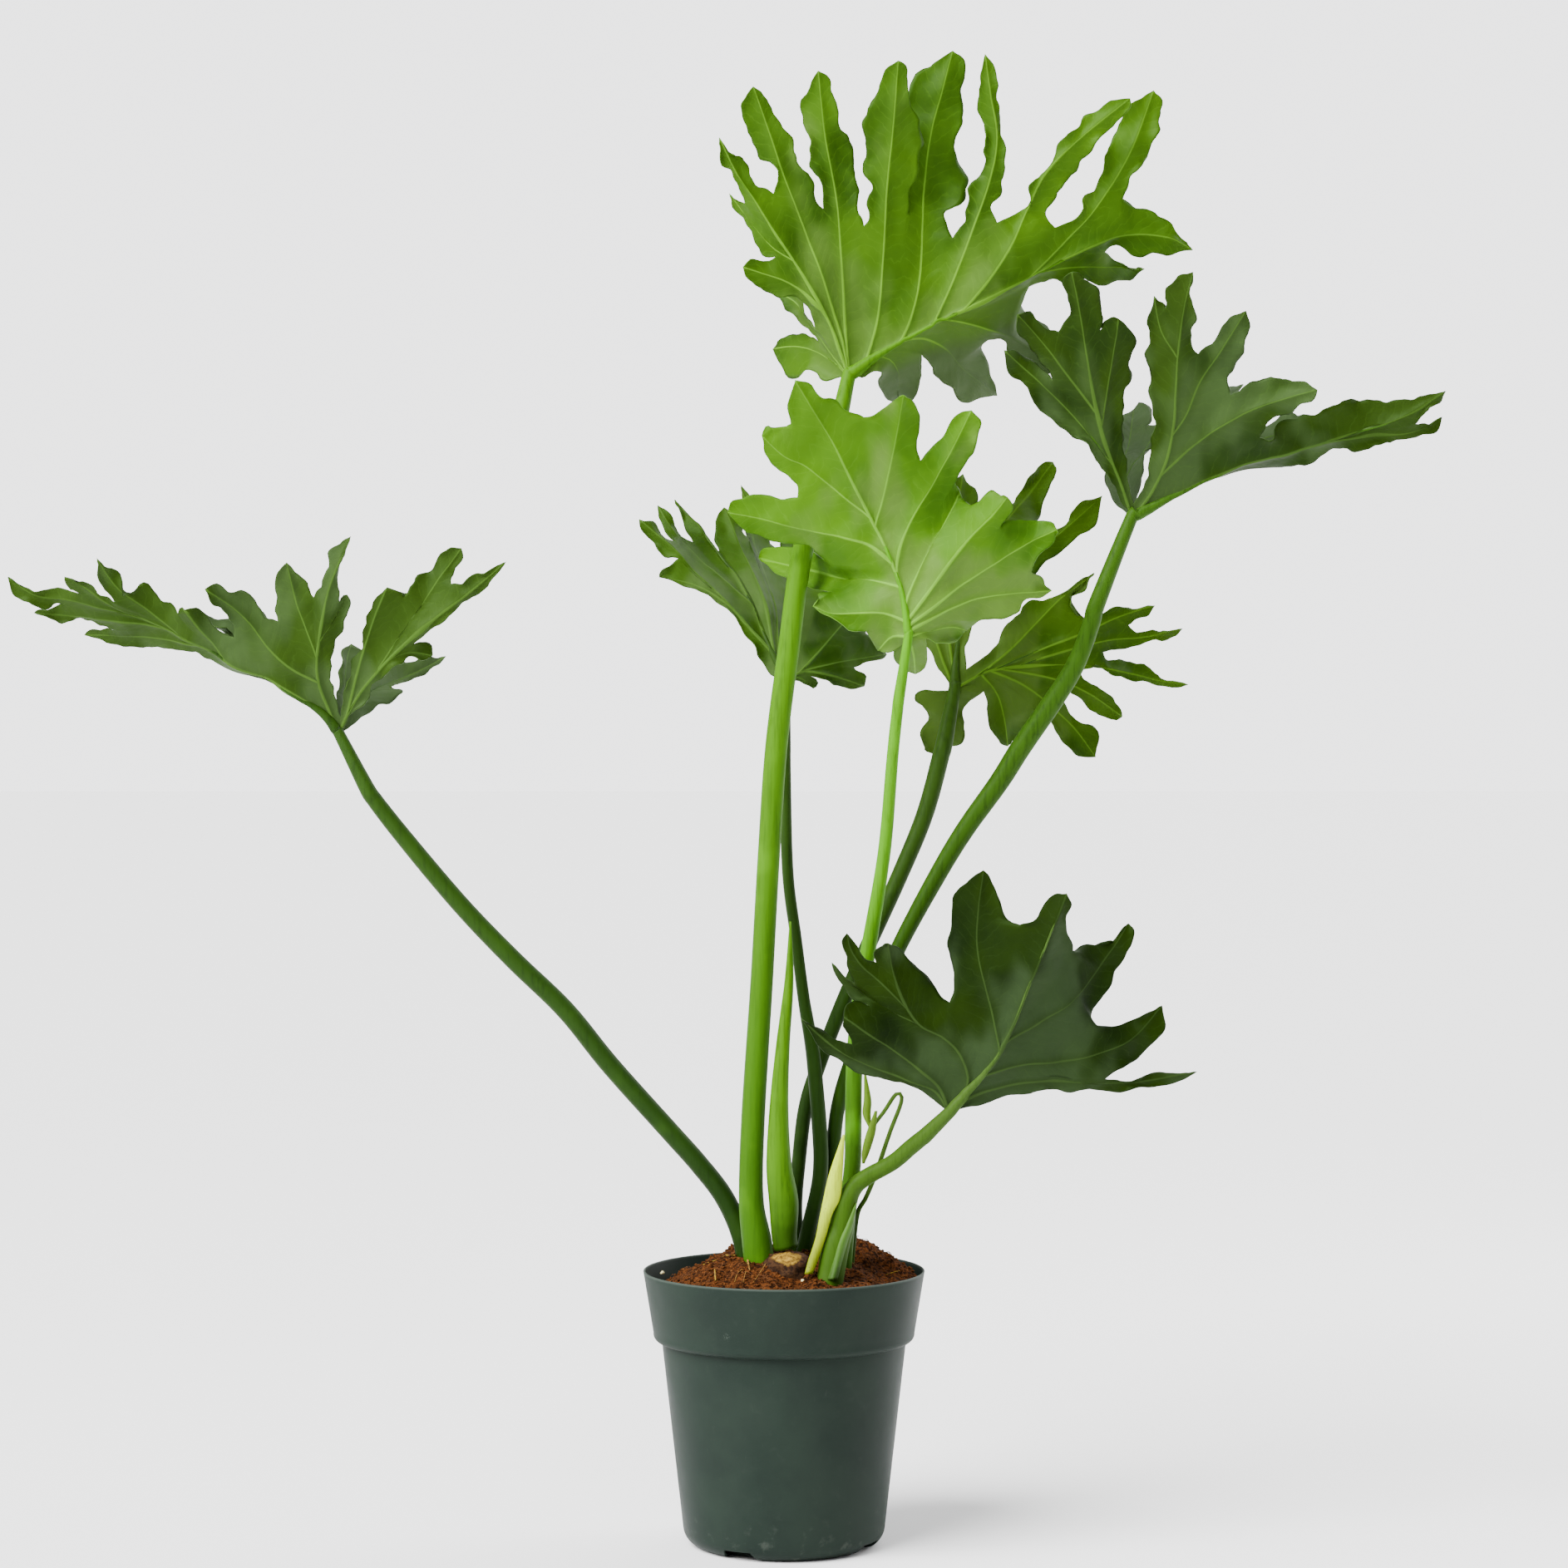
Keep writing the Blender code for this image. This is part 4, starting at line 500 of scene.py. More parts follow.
         [(286, 647), (291, 655), (302, 659), (312, 661), (320, 667), (338, 670), (356, 670),
          (371, 671)], [(382, 667), (376, 662)], (370, 656)),
        ("e2", "rib", 10, [(318, 646), (345, 648), (368, 651), (386, 660)], [(378, 657)],
         [(382, 651), (370, 648), (355, 645), (340, 642), (322, 637), (308, 632)], (292, 631)),
    ],
    "rear_right": [
        ("s2", "rib", 46, [(100, 500), (92, 520), (84, 545), (78, 572)],
         [(93, 509), (86, 520), (80, 540), (72, 560)], [(84, 570), (88, 560)], (92, 556)),
        ("s3", "rib", 92, [(100, 506), (96, 540), (98, 580), (105, 627)],
         [(90, 575), (92, 600), (98, 620)], [(112, 619), (112, 606), (113, 597)], (120, 594)),
        ("end", "rib", 0, [], [(130, 608), (139, 613), (144, 624), (151, 633)],
         [(160, 629), (157, 620), (151, 610), (147, 601)], (142, 592)),
        ("s5", "rib", 40, [(109, 560), (126, 573), (144, 583), (162, 592), (186, 613)],
         [(160, 596), (168, 603), (176, 610)],
         [(184, 600), (177, 592), (170, 589), (160, 580), (148, 571), (130, 560), (114, 545),
          (107, 530)], (107, 512)),
        ("s6", "s9", 26, [(112, 507), (130, 521), (148, 539), (164, 555), (183, 568)],
         [(115, 518), (124, 527), (133, 539), (142, 551), (153, 553), (163, 557), (173, 564)],
         [(177, 560), (171, 553), (171, 545)], (177, 540)),
        ("s7", "s9", 30, [(124, 511), (150, 523), (175, 533), (197, 543), (217, 549)],
         [(186, 543), (192, 547), (201, 549), (209, 547)], [(212, 544)], (202, 538)),
        ("s8", "s9", 36, [(140, 514), (165, 523), (190, 529), (213, 531), (234, 536)],
         [(207, 533), (216, 536), (224, 533)], [(229, 531), (220, 528), (208, 527), (197, 524)],
         (187, 522)),
        ("s9", "rib", 44,
         [(100, 500), (110, 506), (121, 511), (145, 514), (175, 514), (205, 509), (222, 505),
          (237, 503)], [(190, 517), (199, 518), (208, 515), (216, 511), (222, 506)],
         [(230, 501), (221, 503), (204, 506), (186, 511)], (173, 511)),
        ("s10", "s9", 28, [(128, 512), (146, 509), (163, 505), (180, 497), (199, 484)],
         [(175, 505), (182, 503), (191, 497), (197, 490)], [(195, 481), (187, 485), (176, 493)],
         (166, 500)),
        ("s11", "s9", 34, [(122, 511), (140, 503), (155, 492), (170, 478), (182, 461)],
         [(164, 492), (169, 486), (178, 480), (184, 472)],
         [(172, 461), (167, 467), (161, 474), (156, 482)], (147, 488)),
        ("s12", "s9", 20, [(117, 509), (125, 497), (129, 482), (131, 467)],
         [(144, 478), (138, 470)], [(125, 470), (121, 480), (120, 490)], (117, 499)),
        ("s1", "rib", 20, [(100, 500), (99, 488), (95, 474), (90, 461)],
         [(110, 494), (106, 488), (106, 480), (103, 469)],
         [(82, 463), (81, 472), (83, 483), (77, 490), (80, 498)], None),
    ],
    "low": [
        ("t1", "rib", -6, [(97, 252), (88, 265), (70, 272), (48, 281), (28, 291), (10, 307)],
         [(84, 262), (70, 270), (55, 271), (40, 278), (24, 288)], [(20, 300), (31, 293)],
         (40, 293)),
        ("t2", "rib", -16, [(97, 252), (90, 268), (73, 282), (55, 295), (35, 308)],
         [(38, 299), (34, 303)], [(37, 315), (43, 318)], (50, 314)),
        ("t3", "t5", 6, [(80, 303), (64, 311), (48, 321), (36, 331), (28, 340)],
         [(40, 319), (32, 329)], [(34, 333)], (42, 327)),
        ("t4", "t5", -8, [(72, 315), (60, 326), (46, 338), (39, 348), (37, 357)],
         [(38, 336), (34, 350)], [(42, 350), (48, 343)], (54, 340)),
        ("t5", "rib", -18,
         [(104, 260), (108, 272), (103, 286), (93, 296), (80, 303), (71, 316), (64, 334),
          (61, 351)], [(54, 346)], [(68, 348), (76, 340), (87, 327), (93, 320)], (97, 317)),
        ("t6", "rib", -16, [(127, 289), (123, 306), (118, 326), (113, 350), (114, 372), (117, 394)],
         [(100, 326), (97, 345), (98, 365), (101, 381), (109, 389)],
         [(122, 389), (126, 376), (131, 366)], (138, 362)),
        ("end", "rib", 0, [], [(147, 364), (151, 373), (158, 379)],
         [(169, 374), (165, 366), (168, 356)], (171, 346)),
        ("t8", "rib", 14, [(130, 294), (148, 303), (166, 317), (182, 332), (202, 363)],
         [(180, 350), (190, 350), (196, 357)],
         [(206, 357), (199, 341), (193, 328), (186, 318), (182, 309)], (184, 303)),
        ("t9", "rib", 22, [(117, 275), (138, 280), (162, 281), (186, 287), (206, 297), (222, 315)],
         [(194, 302), (204, 307), (214, 310)], [(224, 304), (220, 295), (210, 286), (199, 278)],
         (188, 272)),
        ("t10", "rib", 18, [(102, 257), (120, 265), (145, 270), (175, 270), (208, 270), (242, 276)],
         [(200, 270), (212, 274), (224, 274)],
         [(232, 270), (215, 267), (195, 265), (172, 265), (145, 264), (120, 258)], None),
    ],
    "rear_left": [
        ("w1", "w2", 8, [(-34, 551), (-45, 558), (-57, 563), (-73, 566)],
         [(-11, 512), (-20, 530), (-31, 545), (-44, 554), (-60, 562)], [(-71, 571), (-66, 575)],
         (-62, 577)),
        ("w2", "rib", 20, [(-7, 522), (-21, 537), (-34, 551), (-48, 566), (-64, 582), (-85, 600)],
         [(-72, 580), (-81, 590)], [(-77, 597), (-70, 591)], (-63, 587)),
        ("w3", "rib", 30, [(-19, 548), (-40, 569), (-57, 585), (-67, 596), (-74, 608)],
         [(-69, 594), (-75, 602)], [(-68, 603), (-60, 592)], (-53, 587)),
        ("end", "rib", 0, [], [(-58, 597), (-64, 607)], [(-58, 603), (-50, 595), (-44, 588)],
         (-38, 582)),
        ("w5", "rib", 62, [(-6, 520), (-11, 548), (-22, 578), (-35, 606)], [(-41, 593), (-40, 602)],
         [(-28, 603), (-22, 595)], (-18, 590)),
        ("w6", "rib", 96, [(-2, 512), (-6, 545), (-14, 580), (-25, 619)], [(-23, 604)],
         [(-16, 608), (-7, 592)], (-2, 582)),
        ("w7", "rib", 110, [(1, 506), (5, 535), (8, 565), (11, 600)], [(2, 594)],
         [(19, 590), (24, 575)], (24, 560)),
        ("w8", "w9", 48, [(8, 509), (22, 524), (34, 538), (46, 550)], [(32, 556)], [(50, 542)],
         (48, 533)),
        ("w9", "rib", 42, [(1, 506), (12, 511), (28, 515), (44, 518), (61, 521)], [(54, 528)],
         [(57, 518), (49, 516)], (41, 513)),
        ("w10", "w9", 20, [(12, 511), (24, 509), (36, 506), (47, 502)], [(48, 508)],
         [(42, 500), (32, 503), (22, 506)], (15, 508)),
        ("w11", "rib", 10, [(1, 506), (9, 507), (17, 501)], [(19, 504)], [(12, 503)], None),
    ],
    "left": [
        ("y1", "rib", 22, [(-345, 526), (-365, 530), (-388, 532), (-411, 532)],
         [(-352, 523), (-370, 525), (-392, 527)], [(-402, 536)], (-392, 536)),
        ("y2", "rib", 10, [(-362, 536), (-390, 541), (-416, 543), (-440, 545)],
         [(-408, 539), (-424, 540)], [(-434, 548)], (-422, 549)),
        ("end", "rib", 0, [], [(-440, 549), (-451, 556)], [(-450, 562), (-440, 559), (-428, 558)],
         (-412, 556)),
        ("y4", "rib", -14, [(-375, 541), (-392, 550), (-407, 558), (-422, 566)], [(-418, 560)],
         [(-414, 565), (-404, 560), (-398, 555)], (-392, 552)),
        ("y5", "rib", -20, [(-350, 530), (-368, 543), (-384, 555), (-394, 563), (-403, 577)],
         [(-397, 556), (-402, 566)],
         [(-398, 571), (-390, 568), (-384, 560), (-376, 561), (-370, 556), (-360, 551)],
         (-355, 545)),
        ("y7", "rib", -16, [(-328, 516), (-336, 528), (-344, 538), (-351, 548)], [(-353, 548)],
         [(-344, 547), (-337, 540), (-331, 533)], (-323, 530)),
        ("v1", "v3", -22,
         [(-271, 504), (-289, 513), (-302, 524), (-314, 539), (-326, 550), (-340, 559)],
         [(-322, 536), (-329, 545), (-338, 554)],
         [(-333, 561), (-322, 558), (-314, 556), (-307, 546)], (-297, 540)),
        ("v2", "v3", -14, [(-272, 518), (-280, 535), (-287, 554), (-292, 574)],
         [(-298, 551), (-299, 563), (-296, 570)], [(-287, 570), (-283, 565), (-278, 561)],
         (-276, 554)),
        ("v3", "rib", -38,
         [(-261, 474), (-268, 490), (-273, 504), (-274, 518), (-271, 540), (-266, 562),
          (-254, 590)], [(-271, 560), (-269, 574), (-264, 583)],
         [(-258, 582), (-262, 570), (-261, 558)], (-261, 552)),
        ("v4", "v3", -4, [(-271, 528), (-264, 542), (-256, 556)], [(-259, 555)],
         [(-254, 548), (-258, 538), (-264, 530), (-266, 512), (-263, 497)], (-260, 484)),
        ("x1", "x3", -14, [(-257, 484), (-252, 504), (-246, 525), (-240, 543), (-233, 560)],
         [(-259, 490), (-257, 505), (-250, 522), (-246, 537), (-242, 549)], [(-229, 557)],
         (-221, 557)),
        ("x2", "x3", -10, [(-240, 509), (-228, 527), (-214, 547), (-203, 564), (-189, 583)],
         [(-216, 566), (-209, 568), (-204, 576), (-197, 582)], [(-189, 576), (-193, 568)],
         (-195, 562)),
        ("x3", "rib", -24,
         [(-261, 474), (-257, 484), (-249, 498), (-238, 511), (-222, 527), (-203, 543), (-183, 558),
          (-163, 575)], [(-187, 562), (-180, 569), (-170, 571)],
         [(-170, 566), (-184, 553), (-199, 541), (-212, 532)], (-219, 526)),
        ("x4", "x3", 6, [(-231, 518), (-220, 522), (-206, 520)], [(-212, 528), (-206, 525)],
         [(-212, 517), (-221, 519), (-236, 508), (-250, 489)], None),
    ],
}

# Far half of a folded blade: its turn about the rib in degrees, its size, the near lobes it
# repeats in order around the blade, near places beside its outermost vein, and the notch
# where it passes into the near half, if that comes after it
FAR_HALVES = {
    "right": (62.0, 0.84, ["c3", "c2", "c1", "c0", "r4", "r3"], [(172, 690), (172, 660),
              (183, 630)], None),
    "left": (52.0, 0.84, ["x3", "x2", "x1", "v4", "v3", "v2", "v1"], [(-246, 488), (-228, 505),
             (-208, 520)], (-330, 514)),
}

# Stalks from the soil up to the blade: (x, z, y, radius), millimetres
STALKS = {
    "top": [(-13, 150, -14, 8.6), (-15.7, 175.6, -14, 8.8), (-19.2, 202, -14, 7.2),
            (-18, 250, -14, 6.9), (-13, 329, -14, 6.6), (-9, 400, -13, 6.5), (-4.5, 466, -12, 6.5),
            (3, 525, -10, 6.3), (10.6, 579, -8, 6.2), (24, 628, -4, 5.8), (35, 660, 2, 5.2)],
    "centre": [(34, 150, -19.5, 4.9), (37, 191, -22, 5.0), (40.3, 222, -24, 4.9),
               (40.6, 241, -26, 4.9), (41.3, 280, -28, 4.8), (44.2, 314.5, -29, 4.7),
               (48.9, 344, -31, 4.5), (56.4, 388, -34, 3.9), (60.2, 417, -37, 3.7),
               (64.2, 466, -42, 3.4), (69, 508, -47, 3.2)],
    "right": [(18, 150, 14, 4.3), (20.3, 183, 14, 4.3), (27.6, 222, 14, 4.3), (31.5, 254, 13, 4.3),
              (38.9, 280, 13, 4.4), (53, 316, 12, 4.5), (67.4, 349, 12, 4.6), (88.3, 388, 11, 5.2),
              (105.7, 417, 10, 5.6), (126.4, 446, 8, 6.0), (139, 466, 7, 6.2), (157, 492, 6, 6.0),
              (170.7, 514, 5, 5.6), (180, 538, 4, 5.2), (188, 566, 3, 4.8)],
    "rear_right": [(8, 150, 14, 4.2), (7.2, 178, 14, 4.2), (6.7, 199, 15, 4.2), (8.6, 222, 15, 4.2),
                   (12.5, 254, 16, 4.3), (19.8, 278, 17, 4.4), (31.8, 309.6, 19, 4.5),
                   (46.7, 344, 22, 4.7), (66.6, 388, 27, 5.0), (82.7, 427, 31, 5.2),
                   (93.3, 466, 34, 5.2), (97, 480, 35, 4.6)],
    "low": [(26.5, 150, -43, 7.6), (30.3, 173, -40, 8.0), (33, 184, -38, 7.7),
            (36.2, 198, -38, 6.4), (41, 208, -38, 5.2), (49, 214.5, -40, 4.8),
            (64.2, 223, -46, 4.6), (74.9, 232, -52, 4.6), (86, 241, -60, 4.4)],
    "rear_left": [(9, 150, 2, 4.6), (13.3, 178, 2, 4.6), (19.8, 206, 4, 4.5), (21.6, 222, 4.5, 4.5),
                  (21, 241, 5, 4.5), (17.9, 278, 5, 4.3), (15.7, 295, 5, 4.0), (11.6, 319, 6, 3.6),
                  (7.2, 353.5, 7, 3.4), (2.3, 392.5, 9, 3.4), (0.8, 449, 14, 3.4),
                  (0.8, 480, 18, 3.3)],
    "left": [(-20, 150, 2, 5.8), (-24.5, 178, 2, 5.8), (-34.8, 202, 2, 5.8), (-50, 222, 1, 5.8),
             (-67, 241, 1, 5.8), (-102, 280, 0, 5.8), (-128, 312, 0, 5.7), (-158, 341, 0, 5.6),
             (-187, 371, 0, 5.4), (-216, 405, -2, 5.2), (-240.5, 436, -5, 4.8),
             (-251, 454, -7, 4.2)],
}

# Rolled leaf that hasn't opened: (x, z, y, radius), millimetres
SPEAR = [(1.5, 172.2, -23, 7.2), (0.3, 180, -23, 7.6), (0, 200, -24, 8.8), (-2.8, 222, -24, 7.5),
         (-2.8, 256, -24, 5.6), (-0.5, 292, -24, 4.1), (3, 329, -23, 2.7), (3.8, 364, -22, 0.6)]

# Thin side shoot that bends back at its top: (x, z, y, radius), millimetres
SIDE_SHOOT = [(39, 150, -9, 1.4), (40, 166, -10, 1.4), (43, 192, -14, 1.4), (48, 202, -20, 1.4),
              (54, 216.5, -27, 1.4), (62, 240, -34, 1.3), (69, 259, -39, 1.2), (66, 263, -39, 1.2),
              (59, 253, -37, 1.2), (53, 245, -35, 1.1), (50, 240, -33, 1.0)]

# Scales and the sheath of the low leaf: (x, z, y, half width), millimetres
CATAPHYLL = [(14.4, 157.2, -48, 2.4), (17, 165, -47, 2.9), (21.3, 178, -46.7, 3.0),
             (24.7, 192, -46.4, 3.6), (28.1, 202, -45.4, 4.9), (30.6, 217, -45, 3.9),
             (35, 239, -40, 0.7)]
BRACT = [(46.5, 222, -35, 0.8), (48.2, 230, -35.7, 2.4), (51.2, 241, -37.3, 2.6),
         (54, 253, -40.2, 0.8)]
HUSK = [(50.5, 243, -31.6, 0.8), (48.5, 251, -30.8, 2.4), (49, 260, -30.6, 2.2),
        (47.5, 275, -31, 0.6)]
SHEATH = [(28.5, 154, -52, 3.0), (31, 164, -50, 3.0), (34, 176, -47.5, 3.4), (38, 186, -45, 2.6),
          (42.5, 199, -42, 0.4)]


def place(x, z, y):
    """World point of a drawn place, in metres."""
    spread = (EYE_DISTANCE + y * MM) / EYE_DISTANCE
    return Vector((x * MM * spread, y * MM, EYE_HEIGHT + (z * MM - EYE_HEIGHT) * spread))


def lump(x, y, scale, pattern):
    """Smooth random value at a place."""
    return lumps.noise(Vector((x * scale, y * scale, pattern)))


def layered(x, y, layers):
    """Several smooth random values at a place, added up."""
    return sum(share * lump(x, y, scale, pattern) for share, scale, pattern in layers)


def travelled(line):
    """Distance along a line at each of its places."""
    return np.concatenate([[0.0], np.cumsum(np.linalg.norm(np.diff(line, axis=0), axis=1))])


def smooth_line(points, count):
    """count + 1 places, evenly spaced on a smooth curve through the points."""
    knots = np.array(points, dtype=float)
    if len(knots) > 2:
        ends = np.vstack([2 * knots[0] - knots[1], knots, 2 * knots[-1] - knots[-2]])
        fine = []
        for a, b, c, d in zip(ends, ends[1:], ends[2:], ends[3:]):
            for t in np.linspace(0.0, 1.0, CURVE_STEPS, endpoint=False):
                fine.append(0.5 * (2 * b + (c - a) * t + (2 * a - 5 * b + 4 * c - d) * t ** 2
                                   + (3 * b - a - 3 * c + d) * t ** 3))
        fine.append(knots[-1])
        knots = np.array(fine)
    reach = travelled(knots)
    wanted = np.linspace(0.0, reach[-1], count + 1)
    return np.column_stack([np.interp(wanted, reach, column) for column in knots.T])


def spaced(points, least=2, gap=STATION):
    """Places about a gap apart on the smooth curve through the points."""
    length = travelled(np.array(points, dtype=float))[-1]
    return smooth_line(points, max(least, round(length / gap)))


def on_line(line, at):
    """Place at a fractional index of a list of places."""
    k = min(int(at), len(line) - 2)
    return line[k] + (line[k + 1] - line[k]) * (at - k)


def far_place(rib, point, turn, size):
    """Place of a near-half point carried over to the far half by a turn about the rib."""
    line = np.array(rib, dtype=float)
    foot = line[0, :2]
    ahead = line[len(line) // 2, :2] - foot
    ahead /= np.linalg.norm(ahead)
    up = np.array([-ahead[1], ahead[0]]) * math.copysign(1.0, ahead[0])
    run = (line[:, :2] - foot) @ ahead
    rise = (line[:, :2] - foot) @ up
    along = float((np.array(point[:2]) - foot) @ ahead)
    level = np.interp(along, run, rise)
    off = float((np.array(point[:2]) - foot) @ up) - level
    drawn = foot + ahead * along + up * level + up * off * size * math.cos(turn)
    depth = np.interp(along, run, line[:, 2]) + off * size * math.sin(turn)
    return (drawn[0], drawn[1], depth)


def far_lobes(name):
    """Lobes of the half behind the rib, copied from the near half and turned."""
    angle, size, titles, side, join = FAR_HALVES[name]
    near = LOBES[name]
    order = [lobe[0] for lobe in near]

    def carried(points):
        return [far_place(RIBS[name], point, math.radians(angle), size) for point in points]

    lobes = []
    for title in titles:
        k = order.index(title)
        parent, vein, rise, fall = near[k][1], near[k][3], near[k][4], near[k][5]
        if parent != "rib":
            parent += "_far"
        notch = carried([near[k - 1][6]])[0]
        if join and title == titles[-1]:
            notch = join
        lobes.append((title + "_far", parent, None, carried(vein), carried(fall[::-1]),
                      carried(rise[::-1]), notch))
    if near[-1][6] is None:
        lobes[0][4][:0] = carried(side)
    else:
        lobes[-1][5].extend(carried(side))
    return lobes


def all_lobes(name):
    """A blade's lobes in order around it, the far half with them."""
    lobes = list(LOBES[name])
    if name not in FAR_HALVES:
        return lobes
    return far_lobes(name) + lobes if lobes[-1][6] is None else lobes + far_lobes(name)


def vein_paths(rib, lobes):
    """Places of the veins, and for each lobe the places from the stalk out to its tip."""
    places = list(spaced(rib, 4))
    paths = {"rib": list(range(len(places)))}
    waiting = [lobe for lobe in lobes if lobe[0] != "end"]
    while waiting:
        lobe = waiting.pop(0)
        name, parent, lean, vein = lobe[:4]
        if parent not in paths:
            waiting.append(lobe)
            continue
        stem = paths[parent]
        gaps = [np.linalg.norm(places[i][:2] - np.array(vein[0][:2])) for i in stem[:-2]]
        k = int(np.argmin(gaps))
        root = places[stem[k]]
        if lean is None:
            line = spaced([root] + vein[1:])
        else:
            flat = spaced([root[:2]] + vein[1:])
            share = np.linspace(0.0, 1.0, len(flat))
            line = np.column_stack([flat, root[2] + lean * share ** LEAN_POWER])
        paths[name] = stem[:k + 1] + list(range(len(places), len(places) + len(line) - 1))
        places.extend(line[1:])
    paths["end"] = paths["rib"]
    return places, paths


def edge_line(start, between, tip, vein_depths, crinkled):
    """Places on the edge from a notch to a tip, with its small waves."""
    points = np.array([start[:2]] + [p[:2] for p in between] + [tip[:2]], dtype=float)
    flat = spaced(points, gap=EDGE_STATION)
    share = np.linspace(0.0, 1.0, len(flat))
    if between and len(between[0]) == 3:
        reach = travelled(points)
        depths = [start[2]] + [p[2] for p in between] + [tip[2]]
        depth = np.interp(share * reach[-1], reach, depths)
    else:
        depth = np.interp(share, np.linspace(0.0, 1.0, len(vein_depths)), vein_depths)
        depth += (start[2] - vein_depths[0]) * (1.0 - share) ** EDGE_POWER
    along = np.gradient(flat, axis=0)
    along /= np.linalg.norm(along, axis=1)[:, None]
    length = travelled(flat)[-1] * share
    wave = EDGE_WAVE * np.sin(TURN * length / EDGE_WAVE_LENGTH) * np.sin(math.pi * share)
    crinkle = np.array([layered(x, z, CRINKLE_LAYERS) for x, z in flat])
    wave += crinkled * crinkle * np.minimum(1.0, EDGE_EASE * share * (1.0 - share))
    flat = flat + np.column_stack([-along[:, 1], along[:, 0]]) * wave[:, None]
    return np.column_stack([flat, depth])


def zip_rows(row, row_at, border, border_at, flip):
    """Triangles between two rows of places, matched by how far along they are."""
    faces = []
    i = j = 0
    while i < len(row) - 1 or j < len(border) - 1:
        if j == len(border) - 1 or (i < len(row) - 1 and row_at[i + 1] <= border_at[j + 1]):
            face = (row[i], row[i + 1], border[j])
            i += 1
        else:
            face = (row[i], border[j + 1], border[j])
            j += 1
        if len(set(face)) == 3:
            faces.append(face[::-1] if flip else face)
    return faces


def sheet_normals(points, faces):
    """Direction of the upper side at each place."""
    total = [Vector((0.0, 0.0, 0.0)) for _ in points]
    for a, b, c in faces:
        normal = (points[b] - points[a]).cross(points[c] - points[a])
        for i in (a, b, c):
            total[i] += normal
    return [normal.normalized() for normal in total]


def rim_edges(faces):
    """Edges with a face on one side only, in that face's direction."""
    sides = [(face[k], face[(k + 1) % 3]) for face in faces for k in range(3)]
    known = set(sides)
    return [side for side in sides if (side[1], side[0]) not in known]


def shared(path, other):
    """How many places two veins' paths have in common before they part."""
    count = 0
    while count < min(len(path), len(other)) and path[count] == other[count]:
        count += 1
    return count


